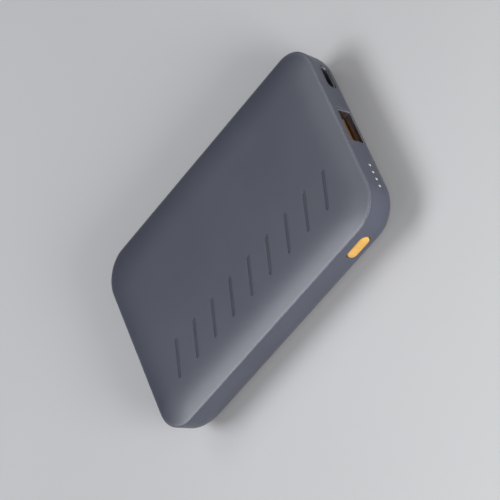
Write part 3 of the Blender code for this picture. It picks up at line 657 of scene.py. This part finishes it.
def with_posts(data):
    """The rear shell with its two screw posts and the rib that keeps the cell in its place."""
    mesh = reopened(data)
    bottom = WALL / 2
    top = box_of("main_board")[0].z - FITTING_GAP
    for node in ("board_screw_1", "board_screw_2"):
        centre = middle_of(node).xy
        outer = circle(POST_RADIUS, centre)
        softened = circle(POST_RADIUS - RIM_SOFTNESS, centre)
        inner = circle(POST_HOLE_RADIUS, centre)
        sections = (
            (outer, bottom),
            (outer, top - RIM_SOFTNESS),
            (softened, top),
            (inner, top),
            (inner, WALL),
        )
        add_loft(mesh, [along_z(outline, height) for outline, height in sections])
    rib_back = box_of("battery_cell")[1].x + FITTING_GAP
    rib_low = (rib_back, -RIB_LENGTH / 2, bottom)
    rib_high = (rib_back + RIB_THICKNESS, RIB_LENGTH / 2, top - FITTING_GAP)
    add_block(mesh, rib_low, rib_high, edge=0.2)
    return finished_mesh(mesh, data.name)


# ---------------------------------------------------------------- button


def make_button(look):
    """A domed pill with a rounded edge, a flange behind the wall and a rib for the switch."""
    mesh = bmesh.new()
    low, high = box_of("button_cap")
    length, height, centre = button_form()
    face = low.y
    edge = 0.5
    dome = 0.22
    rings = []
    for share in (0.15, 0.35, 0.55, 0.75, 0.92):
        inset = (height / 2 - edge) * (1 - share) + edge
        outline = stadium(length - 2 * inset, height - 2 * inset, centre)
        rings.append(along_y(outline, face + dome * share * share))
    for step in range(9):
        angle = math.pi / 2 * step / 8
        inset = edge * (1 - math.sin(angle))
        outline = stadium(length - 2 * inset, height - 2 * inset, centre)
        rings.append(along_y(outline, face + dome + edge * (1 - math.cos(angle))))
    rib_depth = 0.4
    flange_back = high.y - rib_depth
    flange_front = flange_back - 0.8
    flange = stadium(length + 2 * BUTTON_FLANGE, height + 2 * BUTTON_FLANGE, centre)
    rings.append(along_y(stadium(length, height, centre), flange_front))
    rings.append(along_y(flange, flange_front))
    rings.append(along_y(flange, flange_back))
    add_loft(mesh, rings)
    rib_middle = (centre[0], flange_back, centre[1])
    add_block_at(mesh, rib_middle, (2.4, 2 * rib_depth, 1.2), edge=0.12)
    data = finished_mesh(mesh, "button")
    add_piece("button", data, look, "button", "button_cap")


# ---------------------------------------------------------------- sockets


def add_drawn_tube(mesh, outline_at, back, front):
    """A sheet-metal tube along X whose mouth is rounded over."""
    half = SHEET / 2
    rings = [along_x(outline_at(0.0), back)]
    for step in range(9):
        angle = math.pi * step / 8
        outline = outline_at(-half + half * math.cos(angle))
        rings.append(along_x(outline, front - half + half * math.sin(angle)))
    rings.append(along_x(outline_at(-SHEET), back))
    rings.append(rings[0])
    add_loft(mesh, rings, cap_first=False, cap_last=False)
    bmesh.ops.remove_doubles(mesh, verts=mesh.verts, dist=0.001)


def add_strip(mesh, path, y, width, thickness):
    """Adds a bent strip of sheet, as wide as this across Y, along a middle line of (x, z) points."""
    rings = []
    for index, point in enumerate(path):
        before = Vector(path[max(index - 1, 0)])
        after = Vector(path[min(index + 1, len(path) - 1)])
        along = (after - before).normalized()
        half = Vector((-along.y, along.x)) * thickness / 2
        under = Vector(point) - half
        over = Vector(point) + half
        corners = ((under, -1), (under, 1), (over, 1), (over, -1))
        rings.append([(corner.x, y + side * width / 2, corner.y) for corner, side in corners])
    add_loft(mesh, rings)


def spring_path(root_x, tip_x, z, bend):
    """The middle line of a leaf spring that bends inwards from its root and back out at its tip."""
    path = []
    for step in range(11):
        share = step / 10
        sag = math.sin(math.pi * min(1.0, share / 0.85) / 2) ** 2
        lift = 0.14 * max(0.0, share - 0.85) / 0.15
        path.append((root_x + (tip_x - root_x) * share, z + bend * (sag - lift)))
    return path


def make_usb_a_shell(look):
    """A drawn tube with two sprung fingers in its top and two in its bottom."""
    low, high = box_of("usb_a_shell")
    width, height, centre = socket_form("usb_a_shell")

    def outline_at(margin):
        size = (width + 2 * margin, height + 2 * margin)
        return rounded_rectangle(*size, SHELL_A_CORNER + margin, centre)

    mesh = bmesh.new()
    add_drawn_tube(mesh, outline_at, low.x, high.x)
    cutter = bmesh.new()
    springs = []
    for side in (-1, 1):
        z = centre[1] + side * (height - SHEET) / 2
        for half in (-0.5, 0.5):
            springs.append((centre[0] + half * SPRING_SPACING, z, side))
    for y, z, side in springs:
        add_block_at(cutter, (high.x - WINDOW_MIDDLE, y, z), WINDOW_SIZE)
    data = cut_mesh(
        finished_mesh(mesh, "usb_a_can"), finished_mesh(cutter, "spring_windows"), "usb_a_can"
    )
    mesh = reopened(data)
    for y, z, side in springs:
        path = spring_path(high.x - SPRING_ROOT, high.x - SPRING_TIP, z, -side * SPRING_BEND)
        add_strip(mesh, path, y, SPRING_WIDTH, SPRING_THICKNESS)
    data = finished_mesh(mesh, "usb_a_can")
    # How deep into the socket: the steel is painted darker there as painted shade.
    write_values(data, "inside", lambda p: smoothstep(0.2, 1.2, high.x - p.x))
    add_piece("usb_a_can", data, look, "case", "usb_a_shell")


def make_usb_a_insulator(look):
    """The block at the back and the tongue, with a channel under each contact."""
    low, high = box_of("usb_a_insulator")
    contact_front, contact_top = box_of("usb_a_contact_1")[1].xz
    top = contact_top - CONTACT_THICKNESS - CONTACT_GAP
    y = middle_of("usb_a_insulator").y
    block_front = low.x + BLOCK_A_DEPTH
    half = TONGUE_A_WIDTH / 2
    mesh = bmesh.new()
    add_block(mesh, low, (block_front, high.y, high.z), edge=0.15)
    tongue_low = (block_front - 1.0, y - half, top - TONGUE_A_THICKNESS)
    add_block(mesh, tongue_low, (high.x, y + half, top), edge=0.28)
    cutter = bmesh.new()
    for number in range(1, CONTACT_COUNT + 1):
        channel_y = middle_of(f"usb_a_contact_{number}").y
        channel_low = (low.x - 1.0, channel_y - CHANNEL_WIDTH / 2, top - CHANNEL_DEPTH)
        channel_high = (contact_front + 0.3, channel_y + CHANNEL_WIDTH / 2, top + 0.9)
        add_block(cutter, channel_low, channel_high)
    data = cut_mesh(
        finished_mesh(mesh, "usb_a_tongue"), finished_mesh(cutter, "channels"), "usb_a_tongue"
    )
    add_piece("usb_a_tongue", data, look, "case", "usb_a_insulator")


def make_usb_a_contact(number, look):
    """A strip whose nose dips into the tongue's channel and whose foot lies on the board."""
    node = f"usb_a_contact_{number}"
    low, high = box_of(node)
    half = CONTACT_THICKNESS / 2
    bend = 0.35
    bow = 0.08
    crest = high.z - half
    level = crest - bow
    leg = low.x + CONTACT_FOOT + half
    sole = low.z + half
    nose = 0.2
    nose_x = high.x - half - nose
    path = [(high.x - half, crest - bend)]
    path += arc((nose_x, crest - nose), nose, 0.0, math.pi / 2, 6)
    for step in range(1, 7):
        path.append((nose_x - 0.3 * step, crest - bow * smoothstep(0.5, 5.5, step)))
    path += arc((leg + bend, level - bend), bend, math.pi / 2, math.pi / 2, 6)
    path += arc((leg - bend, sole + bend), bend, 0.0, -math.pi / 2, 6)
    path.append((low.x, sole))
    mesh = bmesh.new()
    add_strip(mesh, path, middle_of(node).y, high.y - low.y, CONTACT_THICKNESS)
    data = finished_mesh(mesh, f"usb_a_leaf_{number}")
    add_piece(f"usb_a_leaf_{number}", data, look, "case", node)


def make_usb_c_shell(look):
    low, high = box_of("usb_c_shell")
    width, height, centre = socket_form("usb_c_shell")

    def outline_at(margin):
        return stadium(width + 2 * margin, height + 2 * margin, centre)

    mesh = bmesh.new()
    add_drawn_tube(mesh, outline_at, low.x, high.x)
    data = finished_mesh(mesh, "usb_c_can")
    # How deep into the socket: the steel is painted darker there as painted shade.
    write_values(data, "inside", lambda p: smoothstep(0.4, 1.6, high.x - p.x))
    add_piece("usb_c_can", data, look, "case", "usb_c_shell")


def make_usb_c_insulator(look):
    """The filling at the back, a thin tongue, and the step between them."""
    low, high = box_of("usb_c_insulator")
    width, height, (y, z) = socket_form("usb_c_insulator")
    softness = 0.15
    filling = stadium(width, height, (y, z))
    softened = stadium(width - 2 * softness, height - 2 * softness, (y, z))
    front = low.x + FILLING_C_DEPTH
    sections = ((filling, low.x), (filling, front - softness), (softened, front))
    mesh = bmesh.new()
    add_loft(mesh, [along_x(outline, x) for outline, x in sections])

    def add_bar(back, front, bar_width, thickness, edge):
        middle = ((back + front) / 2, y, z)
        add_block_at(mesh, middle, (front - back, bar_width, thickness), edge)

    add_bar(low.x + 1.0, high.x, TONGUE_C_WIDTH, TONGUE_C_THICKNESS, 0.12)
    add_bar(low.x + 1.5, low.x + 3.2, STEP_C_WIDTH, STEP_C_THICKNESS, 0.1)
    data = finished_mesh(mesh, "usb_c_tongue")
    add_piece("usb_c_tongue", data, look, "case", "usb_c_insulator")


# ---------------------------------------------------------------- lights


def make_light_guide(look):
    """A clear bar behind the wall with four round-ended pins that fill the case's holes."""
    low, high = box_of("light_guide")
    bar_front = low.x + 1.4
    sunk = 0.6
    first_angle = math.radians(12)
    dome = 0.12
    mesh = bmesh.new()
    add_block(mesh, low, (bar_front, high.y, high.z), edge=0.2)
    for y, z in light_places():
        shoulder = end_surface_x(y, z) - dome
        rings = [along_x(circle(PIN_RADIUS, (y, z)), bar_front - sunk)]
        for step in range(7):
            angle = first_angle + math.radians(70) * step / 6
            radius = PIN_RADIUS * math.cos(angle) / math.cos(first_angle)
            rings.append(along_x(circle(radius, (y, z)), shoulder + dome * math.sin(angle)))
        add_loft(mesh, rings)
    data = finished_mesh(mesh, "light_pins")
    add_piece("light_pins", data, look, "case", "light_guide")


# ---------------------------------------------------------------- materials


class Shader:
    """Builds one Principled material. Texture scales are in features per millimetre."""

    def __init__(self, name, metallic=0.0):
        self.material = bpy.data.materials.new(name)
        self.material.use_nodes = True
        self.tree = self.material.node_tree
        self.principled = self.tree.nodes["Principled BSDF"]
        self.principled.inputs["Metallic"].default_value = metallic
        self.coordinates = self.add("ShaderNodeTexCoord").outputs["Object"]

    def add(self, kind, **values):
        node = self.tree.nodes.new(kind)
        for key, value in values.items():
            setattr(node, key, value)
        return node

    def join(self, output, socket):
        self.tree.links.new(output, socket)

    def stretched(self, scale):
        """The object's coordinates at a scale of one number, or of three to stretch the texture."""
        scale = scale if isinstance(scale, tuple) else (scale,) * 3
        mapping = self.add("ShaderNodeMapping")
        mapping.inputs["Scale"].default_value = [value / MM for value in scale]
        self.join(self.coordinates, mapping.inputs["Vector"])
        return mapping.outputs["Vector"]

    def noise(self, scale, detail=3.0, rough=0.5):
        node = self.add("ShaderNodeTexNoise")
        node.inputs["Scale"].default_value = 1.0
        node.inputs["Detail"].default_value = detail
        node.inputs["Roughness"].default_value = rough
        self.join(self.stretched(scale), node.inputs["Vector"])
        return node.outputs["Fac"]

    def cells(self, scale, feature="F1"):
        node = self.add("ShaderNodeTexVoronoi", feature=feature)
        node.inputs["Scale"].default_value = 1.0
        self.join(self.stretched(scale), node.inputs["Vector"])
        return node.outputs["Distance"]

    def attribute(self, name):
        return self.add("ShaderNodeAttribute", attribute_name=name).outputs["Fac"]

    def ramp(self, factor, low, high, low_at=0.3, high_at=0.7):
        """Blends from one colour to another as the factor goes from low_at to high_at."""
        node = self.add("ShaderNodeValToRGB")
        node.color_ramp.elements[0].position = low_at
        node.color_ramp.elements[0].color = (*low, 1.0)
        node.color_ramp.elements[1].position = high_at
        node.color_ramp.elements[1].color = (*high, 1.0)
        self.join(factor, node.inputs["Fac"])
        return node.outputs["Color"]

    def spread(self, factor, low, high, from_low=0.3, from_high=0.7):
        """A number from low to high as the factor goes from from_low to from_high."""
        node = self.add("ShaderNodeMapRange")
        node.inputs["From Min"].default_value = from_low
        node.inputs["From Max"].default_value = from_high
        node.inputs["To Min"].default_value = low
        node.inputs["To Max"].default_value = high
        self.join(factor, node.inputs["Value"])
        return node.outputs["Result"]

    def times(self, first, second):
        node = self.add("ShaderNodeMath", operation="MULTIPLY")
        self.join(first, node.inputs[0])
        self.join(second, node.inputs[1])
        return node.outputs[0]

    def blend(self, factor, first, second):
        node = self.add("ShaderNodeMix", data_type="RGBA")
        self.join(factor, node.inputs["Factor"])
        self.join(first, node.inputs["A"])
        self.join(second, node.inputs["B"])
        return node.outputs["Result"]

    def bump(self, heights, depth):
        """Adds a bump of this depth in millimetres to those already there."""
        node = self.add("ShaderNodeBump")
        node.inputs["Strength"].default_value = 1.0
        node.inputs["Distance"].default_value = depth * MM
        self.join(heights, node.inputs["Height"])
        before = self.principled.inputs["Normal"]
        if before.is_linked:
            self.join(before.links[0].from_socket, node.inputs["Normal"])
        self.join(node.outputs["Normal"], before)

    def color(self, output):
        self.join(output, self.principled.inputs["Base Color"])

    def rough(self, output):
        self.join(output, self.principled.inputs["Roughness"])


def case_plastic():
    """Matte dark blue-grey plastic with a fine eroded grain; paler along the front edge, partly wear
    and partly a painted highlight, and darker on the groove floors, a painted shade.
    """
    shader = Shader("case_plastic")
    clouds = shader.noise(0.05, 4.0)
    base = shader.ramp(clouds, (0.063, 0.069, 0.094), (0.071, 0.078, 0.104))
    # Paler edge colour: partly wear, partly a painted highlight along the front edge.
    worn_and_highlight = shader.ramp(clouds, (0.122, 0.129, 0.159), (0.136, 0.143, 0.173))
    scuffs = shader.spread(shader.noise(1.3), 0.5, 1.0, 0.36, 0.62)
    color = shader.blend(shader.times(shader.attribute("edge"), scuffs), base, worn_and_highlight)
    # Painted shade: the groove floors are coloured darker than the face round them.
    floor = shader.ramp(clouds, (0.042, 0.046, 0.064), (0.047, 0.051, 0.071))
    shader.color(shader.blend(shader.attribute("groove"), color, floor))
    shader.rough(shader.spread(shader.noise(0.8), 0.32, 0.35))
    shader.bump(shader.noise(5.0, 2.0), 0.006)
    shader.bump(shader.cells(9.0), 0.002)
    return shader.material


def button_plastic():
    shader = Shader("button_plastic")
    shader.color(shader.ramp(shader.noise(0.3), (0.63, 0.355, 0.082), (0.69, 0.395, 0.094)))
    shader.rough(shader.spread(shader.noise(1.5), 0.24, 0.30))
    shader.bump(shader.noise(6.0, 2.0), 0.003)
    return shader.material


def socket_steel():
    """Drawn sheet with fine lines along the socket, its colour painted darker deep inside as painted
    shade, and rougher there.
    """
    shader = Shader("socket_steel", metallic=1.0)
    lines = shader.noise((0.4, 9.0, 9.0))
    bright = shader.ramp(lines, (0.62, 0.62, 0.64), (0.74, 0.74, 0.75))
    # Painted shade: the steel's colour darkens with depth inside the socket.
    painted_shade_deep = shader.ramp(lines, (0.20, 0.20, 0.20), (0.27, 0.27, 0.27))
    inside = shader.attribute("inside")
    shader.color(shader.blend(inside, bright, painted_shade_deep))
    shader.rough(shader.spread(inside, 0.28, 0.48, 0.0, 1.0))
    shader.bump(lines, 0.002)
    return shader.material


def orange_insulator():
    shader = Shader("orange_insulator")
    # The tongue's own orange hue, painted darker all over as painted shade from deep inside the
    # socket.
    shader.color(shader.ramp(shader.noise(0.4), (0.17, 0.068, 0.019), (0.21, 0.085, 0.024)))
    shader.rough(shader.spread(shader.noise(2.0), 0.42, 0.55))
    shader.bump(shader.noise(6.0), 0.004)
    return shader.material


def black_insulator():
    shader = Shader("black_insulator")
    shader.color(shader.ramp(shader.noise(0.6), (0.014, 0.014, 0.015), (0.024, 0.024, 0.026)))
    shader.rough(shader.spread(shader.noise(2.0), 0.4, 0.55))
    shader.bump(shader.noise(7.0), 0.004)
    return shader.material


def contact_gold():
    shader = Shader("contact_gold", metallic=1.0)
    lines = shader.noise((0.5, 8.0, 8.0))
    shader.color(shader.ramp(lines, (0.78, 0.56, 0.22), (0.86, 0.66, 0.30)))
    shader.rough(shader.spread(lines, 0.34, 0.46))
    shader.bump(lines, 0.0015)
    return shader.material


def board_laminate():
    """Green solder mask over copper tracks that show as slightly raised, paler lines."""
    shader = Shader("board_laminate")
    paths = shader.cells((0.55, 0.55, 0.01), "DISTANCE_TO_EDGE")
    tracks = shader.spread(paths, 1.0, 0.0, 0.04, 0.07)
    weave = shader.noise(3.0)
    mask = shader.ramp(weave, (0.010, 0.085, 0.035), (0.016, 0.110, 0.048))
    copper = shader.ramp(weave, (0.030, 0.170, 0.065), (0.040, 0.200, 0.080))
    shader.color(shader.blend(tracks, mask, copper))
    shader.rough(shader.spread(weave, 0.30, 0.42))
    shader.bump(tracks, 0.03)
    return shader.material


def light_plastic():
    """Milky clear plastic: pale, softly translucent and smooth."""
    shader = Shader("light_plastic")
    shader.color(shader.ramp(shader.noise(1.2), (0.54, 0.55, 0.57), (0.60, 0.61, 0.63)))
    shader.rough(shader.spread(shader.noise(3.0), 0.22, 0.3))
    shader.principled.inputs["Subsurface Weight"].default_value = 0.3
    shader.principled.inputs["Subsurface Radius"].default_value = (0.6 * MM, 0.6 * MM, 0.7 * MM)
    shader.bump(shader.noise(4.0), 0.002)
    return shader.material


def chip_plastic():
    shader = Shader("chip_plastic")
    shader.color(shader.ramp(shader.noise(2.0), (0.022, 0.022, 0.025), (0.036, 0.036, 0.040)))
    shader.rough(shader.spread(shader.noise(4.0), 0.45, 0.6))
    shader.bump(shader.noise(12.0), 0.006)
    return shader.material


def ceramic():
    """Fired ceramic with a fine grain."""
    shader = Shader("ceramic")
    shader.color(shader.ramp(shader.noise(1.5), (0.42, 0.30, 0.18), (0.55, 0.42, 0.28)))
    shader.rough(shader.spread(shader.noise(4.0), 0.35, 0.5))
    shader.bump(shader.cells(8.0), 0.006)
    return shader.material


def ferrite():
    shader = Shader("ferrite")
    shader.color(shader.ramp(shader.noise(2.5), (0.06, 0.06, 0.065), (0.11, 0.11, 0.115)))
    shader.rough(shader.spread(shader.noise(3.0), 0.6, 0.8))
    shader.bump(shader.cells(6.0), 0.02)
    return shader.material


def cell_foil():
    """Laminated foil with the faint dimples and creases of a sealed pouch."""
    shader = Shader("cell_foil", metallic=1.0)
    creases = shader.noise((0.12, 0.35, 0.2), 5.0, 0.6)
    shader.color(shader.ramp(creases, (0.58, 0.59, 0.61), (0.70, 0.71, 0.73)))
    shader.rough(shader.spread(creases, 0.28, 0.45))
    shader.bump(creases, 0.12)
    shader.bump(shader.noise(3.0), 0.01)
    return shader.material


def nickel():
    shader = Shader("nickel", metallic=1.0)
    lines = shader.noise((6.0, 0.6, 6.0))
    shader.color(shader.ramp(lines, (0.54, 0.52, 0.48), (0.64, 0.62, 0.57)))
    shader.rough(shader.spread(lines, 0.28, 0.42))
    shader.bump(lines, 0.003)
    return shader.material


def foam():
    shader = Shader("foam")
    pores = shader.cells(4.0)
    shader.color(shader.ramp(pores, (0.018, 0.018, 0.018), (0.055, 0.055, 0.055), 0.1, 0.6))
    shader.rough(shader.spread(pores, 0.85, 0.97))
    shader.bump(pores, 0.08)
    return shader.material


def adhesive():
    shader = Shader("adhesive")
    fibres = shader.noise((0.8, 5.0, 2.0), 4.0)
    shader.color(shader.ramp(fibres, (0.66, 0.65, 0.60), (0.78, 0.77, 0.73)))
    shader.rough(shader.spread(fibres, 0.5, 0.7))
    shader.bump(fibres, 0.02)
    return shader.material


def amber_tape():
    shader = Shader("amber_tape")
    shader.color(shader.ramp(shader.noise(0.5), (0.52, 0.25, 0.030), (0.66, 0.34, 0.045)))
    shader.rough(shader.spread(shader.noise(1.5), 0.2, 0.34))
    shader.bump(shader.noise((0.4, 1.5, 1.5)), 0.02)
    return shader.material


def screw_steel():
    shader = Shader("screw_steel", metallic=1.0)
    spots = shader.noise(3.0)
    shader.color(shader.ramp(spots, (0.38, 0.38, 0.40), (0.50, 0.50, 0.51)))
    shader.rough(shader.spread(spots, 0.28, 0.42))
    shader.bump(spots, 0.006)
    return shader.material


def silicone(name, dark, light):
    """Soft wire insulation with a faint dusty bloom."""
    shader = Shader(name)
    dust = shader.noise(2.0, 4.0)
    shader.color(shader.ramp(dust, dark, light))
    shader.rough(shader.spread(dust, 0.42, 0.58))
    shader.bump(shader.noise(5.0), 0.006)
    return shader.material


def dress_inner_nodes(looks):
    """Gives every CAD node that still shows the procedural material of its slot."""
    for entry in frame["record"]["subparts"]:
        node = frame["nodes"][entry["node"]]
        node.data.materials.clear()
        node.data.materials.append(looks[entry["material_slot"]])


# ---------------------------------------------------------------- floor, light and camera


def make_floor():
    mesh = bmesh.new()
    bmesh.ops.create_grid(mesh, x_segments=1, y_segments=1, size=FLOOR_REACH)
    floor = bpy.data.objects.new("floor", finished_mesh(mesh, "floor"))
    shader = Shader("floor_paint")
    shader.color(shader.ramp(shader.noise(0.004), (0.56, 0.56, 0.57), (0.60, 0.60, 0.61)))
    shader.rough(shader.spread(shader.noise(0.01), 0.75, 0.85))
    floor.data.materials.append(shader.material)
    bpy.context.scene.collection.objects.link(floor)


def add_light(name, direction, distance, size, power, color=(1.0, 1.0, 1.0), reflected=True):
    """A round soft light this far from the object, in millimetres, facing it.

    One that isn't reflected lights surfaces without showing in their gloss.
    """
    data = bpy.data.lights.new(name, "AREA")
    data.shape = "DISK"
    data.color = color
    data.size = size * MM
    data.energy = power
    light = bpy.data.objects.new(name, data)
    direction = Vector(direction).normalized()
    light.location = (Vector(CAMERA_TARGET) + direction * distance) * MM
    light.rotation_euler = direction.to_track_quat("Z", "Y").to_euler()
    light.visible_camera = False
    light.visible_glossy = reflected
    bpy.context.scene.collection.objects.link(light)


def make_lights():
    """Three lights from above for the front, and two low ones for the sockets and the button."""
    cool = (0.95, 0.97, 1.0)
    add_light("overhead", (-0.50, 0.17, 0.85), distance=1000, size=600, power=5.7, color=cool)
    add_light("end", (-0.13, 0.59, 0.80), distance=1000, size=450, power=1.1)
    add_light("edge", (-0.50, -0.45, 0.72), distance=1000, size=500, power=0.7)
    add_light("side", (0.60, -0.72, 0.36), distance=600, size=700, power=1.5)
    add_light("corner", (0.62, -0.75, 0.24), distance=700, size=260, power=4.8, reflected=False)


def make_world():
    world = bpy.data.worlds.new("studio")
    world.use_nodes = True
    world.node_tree.nodes["Background"].inputs["Color"].default_value = (0.9, 0.93, 1.0, 1.0)
    world.node_tree.nodes["Background"].inputs["Strength"].default_value = 0.02
    bpy.context.scene.world = world


def make_camera():
    data = bpy.data.cameras.new("camera")
    data.lens = CAMERA_LENS
    camera = bpy.data.objects.new("camera", data)
    level = math.cos(CAMERA_ELEVATION)
    direction = Vector((
        level * math.cos(CAMERA_AZIMUTH),
        level * math.sin(CAMERA_AZIMUTH),
        math.sin(CAMERA_ELEVATION),
    ))
    facing = direction.to_track_quat("Z", "Y").to_matrix()
    camera.location = (Vector(CAMERA_TARGET) + direction * CAMERA_DISTANCE) * MM
    camera.rotation_euler = (facing @ Matrix.Rotation(CAMERA_ROLL, 3, "Z")).to_euler()
    bpy.context.scene.collection.objects.link(camera)
    bpy.context.scene.camera = camera
    bpy.context.scene.view_settings.view_transform = "Standard"


# ---------------------------------------------------------------- the whole scene


def build():
    make_camera()
    make_floor()
    make_lights()
    make_world()
    looks = {
        "case_plastic": case_plastic(),
        "button_plastic": button_plastic(),
        "socket_steel": socket_steel(),
        "orange_insulator": orange_insulator(),
        "black_insulator": black_insulator(),
        "contact_gold": contact_gold(),
        "board_laminate": board_laminate(),
        "light_plastic": light_plastic(),
        "chip_plastic": chip_plastic(),
        "ceramic": ceramic(),
        "ferrite": ferrite(),
        "cell_foil": cell_foil(),
        "nickel": nickel(),
        "foam": foam(),
        "adhesive": adhesive(),
        "amber_tape": amber_tape(),
        "screw_steel": screw_steel(),
        "red_silicone": silicone("red_silicone", (0.50, 0.015, 0.015), (0.62, 0.03, 0.03)),
        "black_silicone": silicone("black_silicone", (0.014, 0.014, 0.014), (0.028, 0.028, 0.028)),
    }
    dress_inner_nodes(looks)
    make_front_cover(looks["case_plastic"])
    make_rear_cover(looks["case_plastic"])
    make_button(looks["button_plastic"])
    make_usb_a_shell(looks["socket_steel"])
    make_usb_a_insulator(looks["orange_insulator"])
    for number in range(1, CONTACT_COUNT + 1):
        make_usb_a_contact(number, looks["contact_gold"])
    make_usb_c_shell(looks["socket_steel"])
    make_usb_c_insulator(looks["black_insulator"])
    make_light_guide(looks["light_plastic"])


build()
